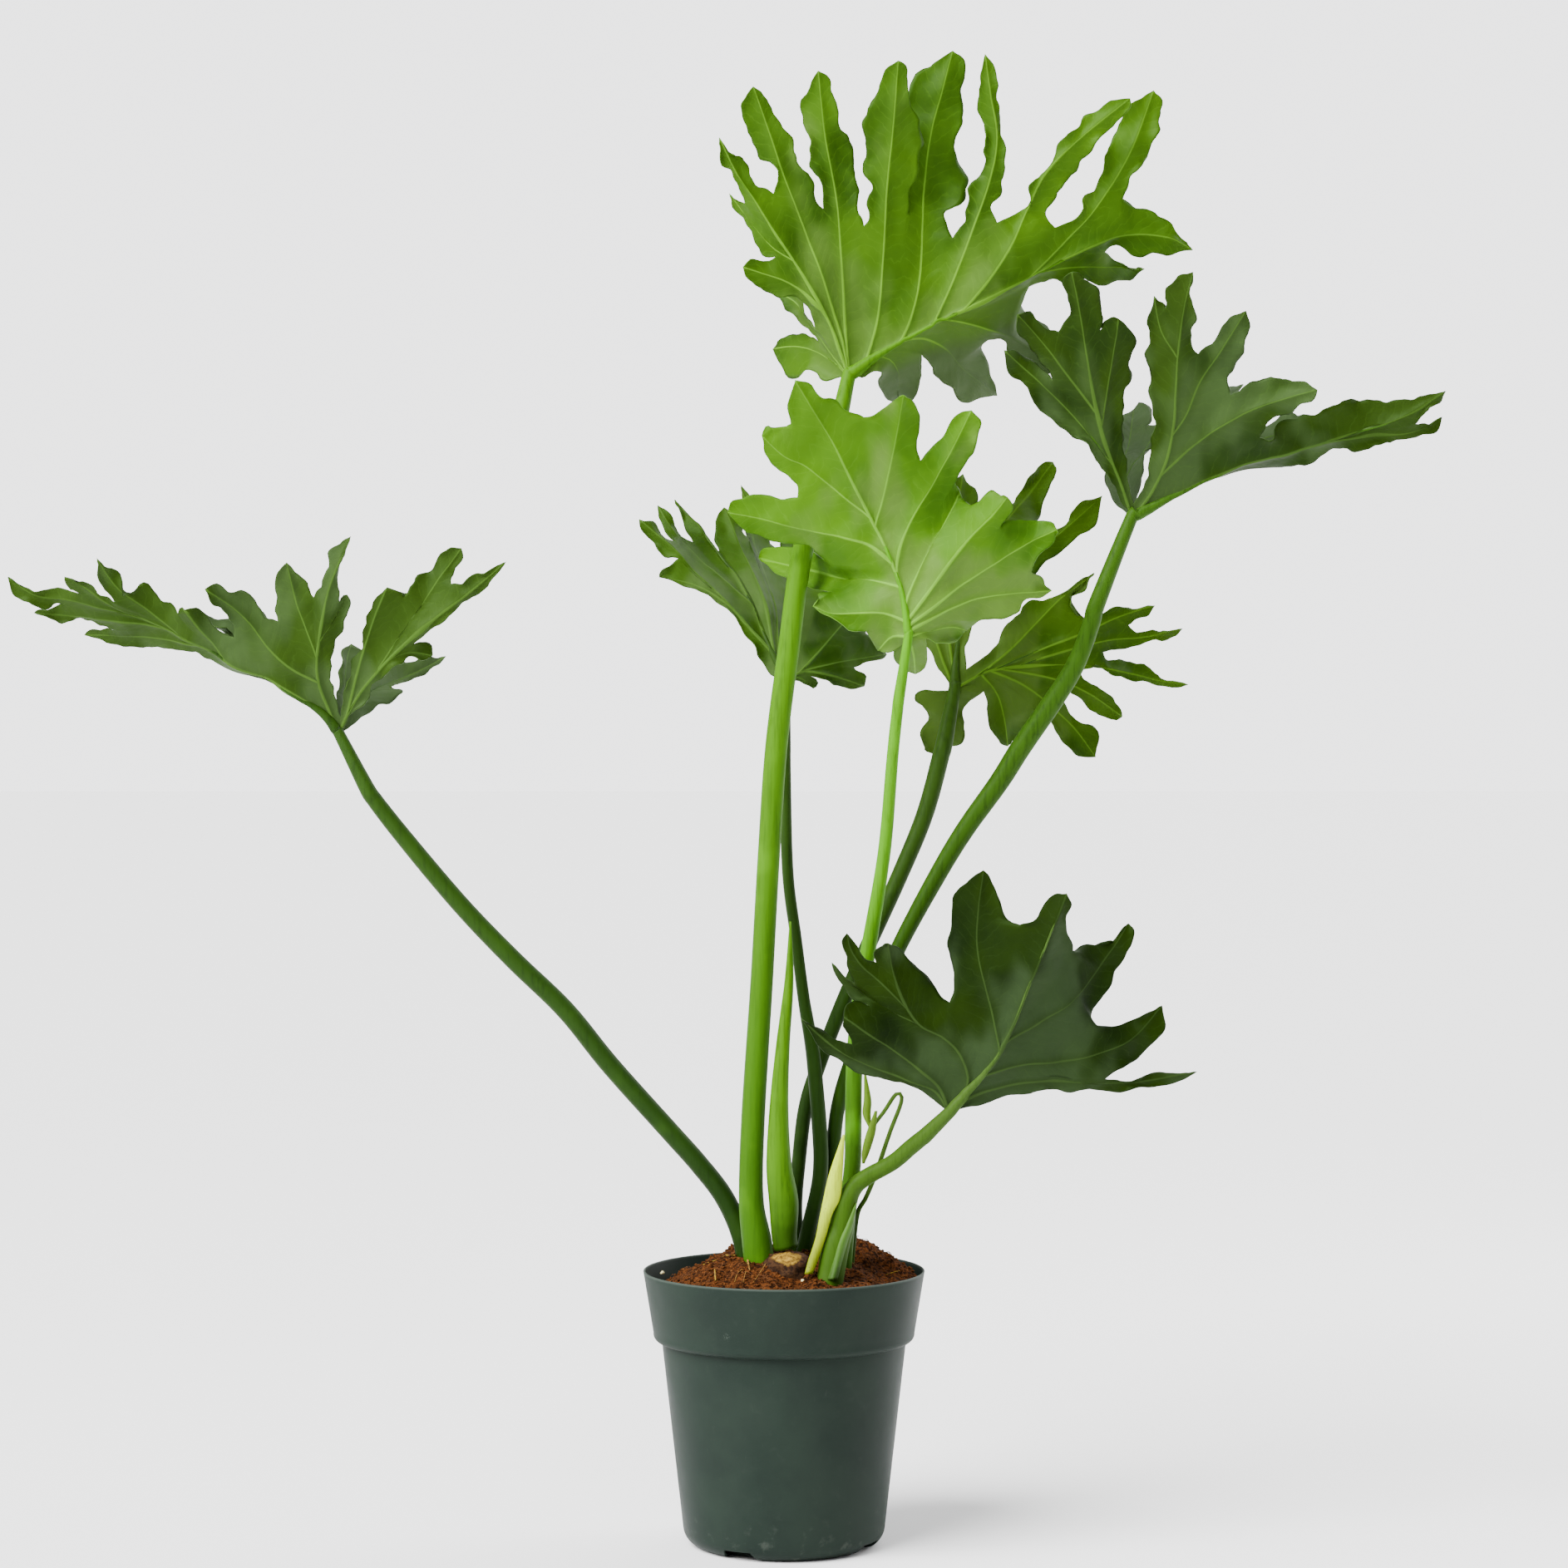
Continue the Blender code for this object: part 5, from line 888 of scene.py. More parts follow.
class Leaf:
    """Fine sheet of one blade: places, triangles, and what each place looks like."""

    def __init__(self, name):
        self.crinkled = CRINKLE[name]
        lobes = all_lobes(name)
        self.places, self.paths = vein_paths(RIBS[name], lobes)
        self.faces, self.runs = [], []
        self.ridge = {}
        self.lift, self.edge, self.ruffle = ([0.0] * len(self.places) for _ in range(3))
        self.width = [SLIM] * len(self.places)
        self.mark_veins()
        self.veins = self.own_paths()
        foot = self.paths["rib"][:1]
        self.add_border(self.paths[lobes[0][0]], foot, lobes[0][4], True, None)
        for one, two in zip(lobes, lobes[1:]):
            self.add_sector(one, two)
        self.add_border(self.paths[lobes[-1][0]], foot, lobes[-1][5][::-1], False, None)

    def mark_veins(self):
        """Depth and width of the veins, thinning towards each tip."""
        for name, path in self.paths.items():
            deep, wide = VEIN_RIDGE, VEIN_WIDTH
            if name in ("rib", "end"):
                deep, wide = RIB_RIDGE, RIB_WIDTH
            for k, i in enumerate(path):
                share = k / (len(path) - 1)
                self.ridge[i] = max(self.ridge.get(i, 0.0), deep + (RIDGE_END - deep) * share)
                self.width[i] = max(self.width[i], wide + (SLIM - wide) * share ** SLIM_POWER)

    def own_paths(self):
        """Each vein's places from where it leaves the others, and the whole rib as "end"."""
        paths = {name: path for name, path in self.paths.items() if name != "end"}
        own = {"end": paths["rib"]}
        for name, path in paths.items():
            if name != "rib":
                kept = max(shared(path, other) for title, other in paths.items() if title != name)
                own[name] = path[kept - 1:]
        return own

    def add_place(self, spot, lift=0.0, width=SLIM, edge=0.0, ruffle=0.0):
        """One more place of the sheet; returns its number."""
        self.places.append(spot)
        self.lift.append(lift)
        self.width.append(width)
        self.edge.append(edge)
        self.ruffle.append(ruffle)
        return len(self.places) - 1

    def line(self, indexes):
        """Places of the sheet with the given numbers."""
        return np.array([self.places[i] for i in indexes])

    def add_sector(self, one, two):
        """Web and edges between two neighbouring lobes."""
        a, b = self.paths[one[0]], self.paths[two[0]]
        while len(a) > 1 and len(b) > 1 and a[1] == b[1]:
            a, b = a[1:], b[1:]
        notch = np.array(one[6][:2], dtype=float)
        lines = [self.line(rail) for rail in (a, b)]
        ends = [1 + int(np.argmin(np.linalg.norm(line[1:-1, :2] - notch, axis=1)))
                for line in lines]
        middle = (lines[0][ends[0]] + lines[1][ends[1]]) / 2
        shift = np.zeros(3)
        shift[:len(one[6])] = np.array(one[6]) - middle[:len(one[6])]
        count = max(1, round(np.linalg.norm(notch - lines[0][0][:2]) / STATION))
        web = [a[0]]
        for k in range(1, count + 1):
            share = k / count
            halves = [on_line(line, share * end) for line, end in zip(lines, ends)]
            width = min(np.linalg.norm(halves[0] - halves[1]) / 2, WIDE)
            spot = (halves[0] + halves[1]) / 2 + shift * share ** WEB_POWER
            web.append(self.add_place(spot, lift=QUILT * width * (1 - share ** 3)))
        self.add_border(a, web, one[5][::-1], False, ends[0])
        self.add_border(b, web, two[4], True, ends[1])

    def add_border(self, rail, web, between, flip, end):
        """Triangles from a vein to the web's middle line and on along the lobe's edge."""
        depths = [self.places[i][2] for i in rail[end or 0:]]
        edge = edge_line(self.places[web[-1]], between, self.places[rail[-1]], depths,
                         self.crinkled)
        outer = [web[-1]]
        for k, spot in enumerate(edge[1:-1], 1):
            swell = math.sin(math.pi * k / (len(edge) - 1))
            outer.append(self.add_place(spot, edge=1.0, ruffle=swell))
        outer.append(rail[-1])
        border = web[:-1] + outer
        last = len(rail) - 1
        if end is None:
            rail_at = [k / last for k in range(last + 1)]
            border_at = [k / (len(border) - 1) for k in range(len(border))]
        else:
            rail_at = [k / end if k <= end else 1 + (k - end) / (last - end)
                       for k in range(last + 1)]
            border_at = [k / (len(web) - 1) for k in range(len(web))]
            border_at += [1 + k / (len(outer) - 1) for k in range(1, len(outer))]
        line, track = self.line(border), self.line(rail)
        opposite = [float(np.interp(at, rail_at, range(last + 1))) for at in border_at]
        away = [float(np.linalg.norm(self.places[i] - on_line(track, at)))
                for i, at in zip(border, opposite)]
        for i, wide in zip(border, away):
            if self.edge[i] > 0.0:
                self.lift[i] += FOLD * wide * self.ruffle[i]
        looks = [np.array([values[i] for i in border])
                 for values in (self.lift, self.ruffle, self.edge)]
        side = -1.0 if flip else 1.0
        run = {i: (k * STATION, 0.0) for k, i in enumerate(rail)}
        rows = [[rail[0]] for _ in range(len(NEAR_VEIN) + len(ACROSS))]
        for k in range(1, last):
            at = float(np.interp(rail_at[k], border_at, range(len(border))))
            far = on_line(line, at)
            near = self.places[rail[k]]
            width = float(np.linalg.norm(far - near))
            lift, swell, rim = (float(np.interp(at, range(len(border)), look)) for look in looks)
            first, second = (min(gap / width, most) for gap, most in zip(NEAR_VEIN, NEAR_LIMIT))
            shares = [first, second] + [second + (1 - second) * s for s in ACROSS]
            for row, share in zip(rows, shares):
                off = share * width
                puff = lift * (math.sin(share * math.pi / 2) * (1.0 - rim) + share * rim)
                puff += QUILT * 0.5 * min(width, WIDE) * math.sin(math.pi * share) * rim
                i = self.add_place(near * (1 - share) + far * share, lift=puff,
                                   width=self.width[rail[k]], edge=rim * share ** RIM_POWER,
                                   ruffle=swell * share ** 2)
                self.ridge[i] = self.ridge[rail[k]] * math.exp(-(off / RIDGE_WIDTH) ** 2)
                run[i] = (k * STATION, side * off)
                row.append(i)
        row = rail
        for inner in rows:
            inner.append(rail[-1])
            self.add_faces(zip_rows(row, rail_at, inner, rail_at, flip), run)
            row = inner
        for i, at, wide in list(zip(border, opposite, away))[:-1]:
            run[i] = (at * STATION, side * wide)
        self.add_faces(zip_rows(row, rail_at, border, border_at, flip), run)

    def add_faces(self, faces, run):
        """Triangles, each corner with how far it lies along and away from a vein."""
        self.faces += faces
        self.runs += [tuple(run[i] for i in face) for face in faces]


def leaf_points(leaf):
    """World places of a leaf's sheet, with its ruffles and puffed web, and their normals."""
    points = [place(*spot) for spot in leaf.places]
    normals = sheet_normals(points, leaf.faces)
    root = leaf.places[leaf.paths["rib"][0]]
    for i, normal in enumerate(normals):
        x, z = leaf.places[i][:2]
        wave = RUFFLE * math.sin(x / RUFFLE_SLANT[0] + z / RUFFLE_SLANT[1])
        wave += SMALL_RUFFLE * layered(x, z, RUFFLE_LAYERS)
        billow = layered(x, z, BILLOW_LAYERS)
        billow *= BILLOW * min(1.0, math.hypot(x - root[0], z - root[1]) / BILLOW_START)
        rise = leaf.ruffle[i] * wave + leaf.lift[i] + billow
        points[i] = points[i] + normal * (rise * MM)
    return points, sheet_normals(points, leaf.faces)


def painted_grey_sheen_share(name, x, z):
    """How much painted grey sheen a place of a leaf has."""
    if name not in PAINTED_GREY_SHEEN:
        return 0.0
    x0, z0, rise, start = PAINTED_GREY_SHEEN[name]
    under = (z0 + rise * (x - x0) - z) / PAINTED_GREY_SHEEN_FADE[0]
    return min(1.0, max(0.0, under)) * min(1.0, max(0.0, (x - start) / PAINTED_GREY_SHEEN_FADE[1]))


def make_leaf(name, material):
    """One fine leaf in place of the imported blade; returns the places of its veins."""
    leaf = Leaf(name)
    points, normals = leaf_points(leaf)
    half = LEAF_THICKNESS * MM / 2
    count = len(points)
    upper = [p + n * half for p, n in zip(points, normals)]
    lower = [p - n * (half + leaf.ridge.get(i, 0.0) * MM)
             for i, (p, n) in enumerate(zip(points, normals))]
    faces = leaf.faces + [(c + count, b + count, a + count) for a, b, c in leaf.faces]
    runs = leaf.runs + [(c, b, a) for a, b, c in leaf.runs]
    for a, b in rim_edges(leaf.faces):
        faces += [(b, a, a + count), (b, a + count, b + count)]
        runs += [((0.0, 0.0),) * 3] * 2
    piece = add_mesh("leaf_" + name, (upper + lower, faces), material)
    mesh = piece.data
    layer = mesh.uv_layers.new(name="run")
    flat = np.array(runs, dtype=np.float32).reshape(-1, 2) * RUN_SCALE
    layer.uv.foreach_set("vector", flat.ravel())
    root = points[leaf.paths["rib"][0]]
    reach = [(p - root).length for p in points]
    reach = [r / max(reach) for r in reach]
    painted_grey_sheen = [painted_grey_sheen_share(name, x, z) for x, z, _ in leaf.places]
    for title, values in (("width", leaf.width * 2), ("edge", leaf.edge * 2),
                          ("reach", reach * 2), ("painted_grey_sheen", painted_grey_sheen * 2),
                          ("upper", [1.0] * count + [0.0] * count)):
        data = mesh.attributes.new(title, "FLOAT", "POINT")
        data.data.foreach_set("value", np.array(values, dtype=np.float32))
    settle(piece, "blade_" + name)
    return {title: [points[i] + normals[i] * VEIN_RISE for i in path]
            for title, path in leaf.veins.items()}


def settle(piece, stands_for=None):
    """A piece rides on the one body, and hides the imported node that it stands for, if any."""
    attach(piece, "root")
    if stands_for:
        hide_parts(stands_for)


def new_object(name, data):
    """Scene object for a mesh, a light or a camera."""
    made = bpy.data.objects.new(name, data)
    bpy.context.scene.collection.objects.link(made)
    return made


def add_mesh(name, shape, material, smooth=True):
    """Scene object with the places and faces of a shape."""
    mesh = bpy.data.meshes.new(name)
    mesh.from_pydata([tuple(p) for p in shape[0]], [], shape[1])
    if material is not None:
        mesh.materials.append(material)
    mesh.update()
    if smooth:
        mesh.shade_smooth()
    return new_object(name, mesh)


def joined(shapes):
    """Places and faces of several shapes as one."""
    places, faces = [], []
    for more, sides in shapes:
        faces += [tuple(len(places) + i for i in face) for face in sides]
        places += more
    return places, faces


def ring_faces(rings, sides):
    """Faces of a closed body that is made of rings of places."""
    faces = []
    for k in range(rings - 1):
        for s in range(sides):
            n = (s + 1) % sides
            a, b = k * sides, (k + 1) * sides
            faces.append((a + s, a + n, b + n, b + s))
    faces.append(tuple(reversed(range(sides))))
    faces.append(tuple((rings - 1) * sides + s for s in range(sides)))
    return faces


def tube(run, sides, ribbed=0.0):
    """Places and faces of a closed tube through (place, radius) pairs."""
    places = []
    spots = [Vector(spot) for spot, _ in run]
    side = None
    for k, (spot, radius) in enumerate(run):
        ahead = (spots[min(k + 1, len(run) - 1)] - spots[max(k - 1, 0)]).normalized()
        if side is None:
            side = ahead.cross(Vector((0.0, 1.0, 0.0))).normalized()
        side = (side - ahead * side.dot(ahead)).normalized()
        other = ahead.cross(side)
        for s in range(sides):
            turn = TURN * s / sides
            size = radius * (1.0 + ribbed * math.cos(turn * RIB_COUNT))
            places.append(spots[k] + (side * math.cos(turn) + other * math.sin(turn)) * size)
    return places, ring_faces(len(run), sides)


def smooth_run(line, count):
    """(place, radius) pairs evenly along the smooth curve through (x, y, z, radius) rows."""
    return [(Vector(row[:3]), row[3]) for row in smooth_line(line, count)]


def drawn_run(rows, count):
    """(place, radius) pairs evenly along the smooth curve through drawn rows."""
    return [(place(x, z, y), radius * MM) for x, z, y, radius in smooth_line(rows, count)]


def make_stalk(name, rows, veins, material):
    """A stalk along its packed route that runs on into the blade's rib and its side veins."""
    run = drawn_run(rows, STALK_POINTS)
    end = run[-1][1]
    main = veins.pop("end")
    line = [(*spot, radius) for spot, radius in run[-OVERLAP:-3:2]]
    reach = 0.0
    before = main[0]
    for spot in main:
        reach += (spot - before).length
        before = spot
        radius = max(RIB_TIP, RIB_SLIM * math.exp(-reach / RIB_FADE))
        radius += (end * RIB_JOIN - RIB_SLIM) * math.exp(-(reach / RIB_BLEND) ** 2)
        line.append((*spot, radius))
    shapes = [tube(run[:-OVERLAP] + smooth_run(line, 3 * len(line)), STALK_SIDES, RIB_DEPTH)]
    for path in veins.values():
        if len(path) > 2:
            shares = [k / (len(path) - 1) for k in range(len(path))]
            line = [(*spot, VEIN_ROOT + (VEIN_TIP - VEIN_ROOT) * share ** VEIN_POWER)
                    for spot, share in zip(path, shares)]
            shapes.append(tube(smooth_run(line, 2 * len(line)), VEIN_SIDES))
    settle(add_mesh("stalk_" + name, joined(shapes), material), "petiole_" + name)


def strap(rows, thick, count, fold, across=8):
    """Places and faces of a thin tapering scale that faces the front."""
    places = []
    for x, z, y, width in smooth_line(rows, count):
        shares = [2.0 * s / across - 1.0 for s in range(across + 1)]
        front = [(x + share * width, y + fold * width * share ** 2) for share in shares]
        places += [place(right, z, deep - thick / 2) for right, deep in front]
        places += [place(right, z, deep + thick / 2) for right, deep in reversed(front)]
    return places, ring_faces(count + 1, 2 * (across + 1))


def arc(centre, radius, start, end, count):
    """Places on an arc in the (radius, height) plane, angles in degrees."""
    turns = [math.radians(start + (end - start) * k / count) for k in range(count + 1)]
    return [(centre[0] + radius * math.cos(t), centre[1] + radius * math.sin(t)) for t in turns]


def straight(one, two, count, first=0):
    """Places on the way from one place up to another, without the last."""
    return [tuple(np.array(one) + (np.array(two) - one) * k / count) for k in range(first, count)]


def turned(profile, steps):
    """Places and faces of a turned shell; a profile place on the axis is one place."""
    places, faces, rings = [], [], []
    for r, z in profile:
        if r < TINY:
            rings.append([len(places)] * steps)
            places.append((0.0, 0.0, z))
            continue
        rings.append([len(places) + s for s in range(steps)])
        turns = [TURN * s / steps for s in range(steps)]
        places += [(r * math.cos(turn), r * math.sin(turn), z) for turn in turns]
    for one, two in zip(rings, rings[1:]):
        for s in range(steps):
            n = (s + 1) % steps
            face = tuple(dict.fromkeys((one[s], one[n], two[n], two[s])))
            if len(face) > 2:
                faces.append(face[::-1])
    return places, faces


def pot_wall(inset):
    """Pot profile from under the rim down to the foot, moved in by a distance."""
    collar_foot = RIM_HEIGHT - COLLAR_HEIGHT
    curve = arc((COLLAR_RADIUS - COLLAR_ROUND, collar_foot + COLLAR_ROUND),
                COLLAR_ROUND - inset, *COLLAR_ARC)
    under = [(BODY_TOP_RADIUS - inset, collar_foot - COLLAR_STEP[0] + inset),
             (BODY_TOP_RADIUS - inset, collar_foot - COLLAR_STEP[1])]
    foot = arc((BODY_FOOT_RADIUS - FOOT_HEIGHT, FOOT_HEIGHT), FOOT_HEIGHT - inset, *FOOT_ARC)
    flank = straight((RIM_RADIUS - inset, RIM_HEIGHT - LIP_ROUND), curve[0], FLANK_STEPS)
    return flank + curve + under + straight(under[1], foot[0], BODY_STEPS, 1) + foot


def make_notch(k):
    """Wedge that cuts one drain notch."""
    turn = NOTCH_TURN + TURN * k / NOTCH_COUNT
    corners = []
    for z, width in ((-NOTCH_HEIGHT, NOTCH_WIDTH), (NOTCH_HEIGHT, NOTCH_TOP_WIDTH)):
        for r, y in ((NOTCH_IN, -width / 2), (NOTCH_OUT, -width / 2), (NOTCH_OUT, width / 2),
                     (NOTCH_IN, width / 2)):
            corners.append((r * math.cos(turn) - y * math.sin(turn),
                            r * math.sin(turn) + y * math.cos(turn), z))
    sides = [(3, 2, 1, 0), (4, 5, 6, 7), (0, 1, 5, 4), (1, 2, 6, 5), (2, 3, 7, 6), (3, 0, 4, 7)]
    return add_mesh("notch_%d" % k, (corners, sides), None, smooth=False)


def make_pot(material):
    """Nursery pot with a rounded lip, a wide collar and notches in its foot."""
    outside = pot_wall(0.0)
    inside = pot_wall(WALL)[::-1]
    inside[0] = (inside[0][0], FLOOR_THICKNESS)
    lip = arc((RIM_RADIUS - WALL / 2, RIM_HEIGHT - WALL / 2), WALL / 2, *LIP_ARC)
    profile = [(0.0, FLOOR_THICKNESS)] + inside[:-1] + lip + outside[1:] + [(0.0, 0.0)]
    pot = add_mesh("nursery_pot", turned(profile, STEPS), material)
    cutters = [make_notch(k) for k in range(NOTCH_COUNT)]
    for cutter in cutters:
        cut = pot.modifiers.new("Notch", "BOOLEAN")
        cut.operation = "DIFFERENCE"
        cut.solver = "EXACT"
        cut.object = cutter
    bpy.context.view_layer.update()
    mesh = bpy.data.meshes.new_from_object(pot.evaluated_get(bpy.context.evaluated_depsgraph_get()))
    pot.modifiers.clear()
    pot.data = mesh
    mesh.shade_smooth()
    mesh.set_sharp_from_angle(angle=SHARP)
    for cutter in cutters:
        bpy.data.objects.remove(cutter)
    settle(pot, "pot")


def soil_height(x, y):
    """Height of the mounded potting mix at a place, with its lumps, heaps and hollows."""
    share = min(1.0, math.hypot(x, y) / SOIL_RADIUS)
    mound = SOIL_MOUND * math.cos(share * math.pi / 2) ** SOIL_DOME
    waves = lump(x, y, SOIL_LUMP_SCALE, SOIL_LAYERS[0])
    height = SOIL_EDGE + mound + SOIL_LUMP * waves * (1.0 - share ** 4) - SOIL_TILT * y * share
    for spot_x, spot_y, size, rise in SOIL_HEAPS:
        height += rise * math.exp(-((x - spot_x) ** 2 + (y - spot_y) ** 2) / size ** 2)
    for scale, rise in SOIL_GRAIN:
        height += rise * lump(x, y, scale, SOIL_LAYERS[1])
    return height


def make_soil(material):
    """Potting mix: a crumbly heap that fills the pot down to its floor."""
    radii = [SOIL_RADIUS * (k / SOIL_RINGS) ** SOIL_CROWD for k in range(SOIL_RINGS + 1)]
    wall = pot_wall(WALL + SOIL_GAP)
    below = [(r, z) for r, z in wall if SOIL_FOOT < z < SOIL_EDGE - SOIL_LIP]
    profile = [(r, SOIL_EDGE) for r in radii] + below + [(0.0, SOIL_FOOT)]
    places, faces = turned(profile, 2 * STEPS)
    shaped = []
    for x, y, z in places:
        if abs(z - SOIL_EDGE) < TINY:
            z = soil_height(x, y)
            shift = Vector((x * SOIL_SHIFT_SCALE, y * SOIL_SHIFT_SCALE, SOIL_LAYERS[2]))
            x += SOIL_SHIFT * lumps.noise(shift)
            y += SOIL_SHIFT * lumps.noise(shift + Vector(SOIL_OTHER))
        shaped.append((x, y, z))
    settle(add_mesh("potting_soil", (shaped, faces), material), "soil")


def ball():
    """Places and faces of a unit ball of 20 triangles."""
    shell = bmesh.new()
    bmesh.ops.create_icosphere(shell, subdivisions=1, radius=1.0)
    places = [tuple(vert.co) for vert in shell.verts]
    faces = [tuple(vert.index for vert in face.verts) for face in shell.faces]
    shell.free()
    return places, faces


def crumb(spot, size, turn, rng):
    """One irregular crumb: a bumpy low ball."""
    places = []
    for dx, dy, dz in BALL[0]:
        stretch = size * rng.uniform(*CRUMB_BUMPS)
        x, y = dx * math.cos(turn) - dy * math.sin(turn), dx * math.sin(turn) + dy * math.cos(turn)
        places.append((spot[0] + x * stretch, spot[1] + y * stretch,
                       spot[2] + dz * stretch * CRUMB_FLAT))
    return places, BALL[1]


def scattered(share, rng):
    """A random direction, and a place in that direction on the inner share of the soil."""
    turn, reach = rng.uniform(0, TURN), SOIL_RADIUS * share * math.sqrt(rng.uniform(0, 1))
    return turn, reach * math.cos(turn), reach * math.sin(turn)


def make_crumbs(material, rng):
    """Loose crumbs scattered over the soil, but not on the woody base."""
    crumbs = []
    while len(crumbs) < CRUMBS:
        turn, x, y = scattered(CRUMB_SPREAD, rng)
        if math.hypot(x - TRUNK_X, y - TRUNK_Y) >= TRUNK_RADIUS:
            size = rng.uniform(*CRUMB_SIZES) * MM
            spot = (x, y, soil_height(x, y) + size * rng.uniform(*CRUMB_RISE))
            crumbs.append(crumb(spot, size, turn, rng))
    settle(add_mesh("soil_crumbs", joined(crumbs), material, smooth=False))


def make_fibres(material, rng):
    """Short coir fibres that lie on and stick out of the soil."""
    fibres = []
    for _ in range(FIBRES):
        _, x, y = scattered(FIBRE_SPREAD, rng)
        heading = rng.uniform(0, TURN)
        length = rng.uniform(*FIBRE_LENGTHS) * MM
        lift = rng.uniform(*FIBRE_LIFTS) * MM
        bend = rng.uniform(*FIBRE_BENDS)
        run = []
        for k in range(FIBRE_POINTS):
            share = k / (FIBRE_POINTS - 1)
            x2 = x + length * share * math.cos(heading + bend * share)
            y2 = y + length * share * math.sin(heading + bend * share)
            if math.hypot(x2, y2) > SOIL_RADIUS - FIBRE_MARGIN:
                break
            z2 = soil_height(x2, y2) + lift * math.sin(math.pi * share) + SOIL_GAP
            radius = rng.uniform(*FIBRE_RADII) * MM * (1 - FIBRE_TAPER * share)
            run.append((Vector((x2, y2, z2)), radius))
        if len(run) > 2:
            fibres.append(tube(run, FIBRE_SIDES))
    settle(add_mesh("soil_fibres", joined(fibres), material))


def sight(right, down, depth):
    """Right and height, in metres, of what a pixel shows at a depth behind the pot's axis."""
    away = EYE_DISTANCE + depth
    return ((right - VIEW_CENTRE[0]) * away / VIEW_FOCUS,
            EYE_HEIGHT - (down - VIEW_CENTRE[1]) * away / VIEW_FOCUS)


def on_soil(right, down):
    """Place on the soil that is seen at a pixel of the photographed view."""
    depth = -SOIL_RADIUS
    while depth < SOIL_RADIUS:
        x, z = sight(right, down, depth)
        if math.hypot(x, depth) < SOIL_RADIUS and z <= soil_height(x, depth):
            return Vector((x, depth, z + ABOVE_SOIL))
        depth += SIGHT_STEP
    x, z = sight(right, down, 0.0)
    return Vector((x, 0.0, z))


def make_roots(material):
    """Thin roots at the foot of the plant."""
    roots = []
    for radius, pixels in ROOTS:
        line = smooth_line([on_soil(*pixel) for pixel in pixels], ROOT_POINTS)
        line[:, 2] += ROOT_ARCH * np.sin(np.linspace(0.0, math.pi, len(line)))
        roots.append(tube([(Vector(spot), radius * MM * (1.0 - ROOT_TAPER * k / ROOT_POINTS))
                           for k, spot in enumerate(line)], ROOT_SIDES))
    settle(add_mesh("roots", joined(roots), material))


def make_trunk(material):
    """Short knobbly woody base."""
    places = []
    for k in range(TRUNK_RINGS + 1):
        share = k / TRUNK_RINGS
        z = TRUNK_FOOT + (TRUNK_TOP - TRUNK_FOOT) * share
        size = TRUNK_RADIUS * (1.0 + TRUNK_SWELL[0] * math.sin(TRUNK_SWELL[1] * share))
        if share > TRUNK_ROUND:
            high = (share - TRUNK_ROUND) / TRUNK_DOME
            size *= math.sqrt(max(0.0, 1.0 - high ** 2)) * TRUNK_CAP[0] + TRUNK_CAP[1]
        for s in range(TRUNK_SIDES):
            turn = TURN * s / TRUNK_SIDES
            x, y = math.cos(turn), math.sin(turn)
            rough = sum(part * lump(x, y, scale, z * rise) for part, scale, rise in TRUNK_GRAIN)
            r = size * (1.0 + TRUNK_ROUGH * rough)
            places.append((TRUNK_X + r * x, TRUNK_Y + r * y, z + TRUNK_LIFT * rough))
    shape = (places, ring_faces(TRUNK_RINGS + 1, TRUNK_SIDES))
    settle(add_mesh("woody_base", shape, material), "trunk")


def make_bits(rng):
    """The few pale bits that lie on the potting mix."""
    chalk = plain_material("perlite", *PERLITE_TONES)
    straw = plain_material("straw", *STRAW_TONES)
    bits = [crumb(on_soil(right, down), size * MM, rng.uniform(0, MOST_TURN), rng)
            for right, down, size in PERLITE]
    settle(add_mesh("perlite_bits", joined(bits), chalk))
    straws = []
    for radius, pixels, rise in STRAWS:
        one, two = (on_soil(*pixel) + Vector((0.0, 0.0, rise * MM * k))
                    for k, pixel in enumerate(pixels))
        sizes = [1.0 - STRAW_TAPER * abs(2 * k / STRAW_STEPS - 1)
                 for k in range(STRAW_STEPS + 1)]
        straws.append(tube([(one.lerp(two, k / STRAW_STEPS), radius * MM * size)
                            for k, size in enumerate(sizes)], STRAW_SIDES))
    settle(add_mesh("straw_bits", joined(straws), straw))


def node(tree, kind, inputs=None, **settings):
    """A shader node with its settings and its inputs, linked or plain."""
    made = tree.nodes.new(kind)
    for key, value in settings.items():
        setattr(made, key, value)
    for key, value in (inputs or {}).items():
        if isinstance(value, bpy.types.NodeSocket):
            tree.links.new(value, made.inputs[key])
        else:
            made.inputs[key].default_value = value
    return made


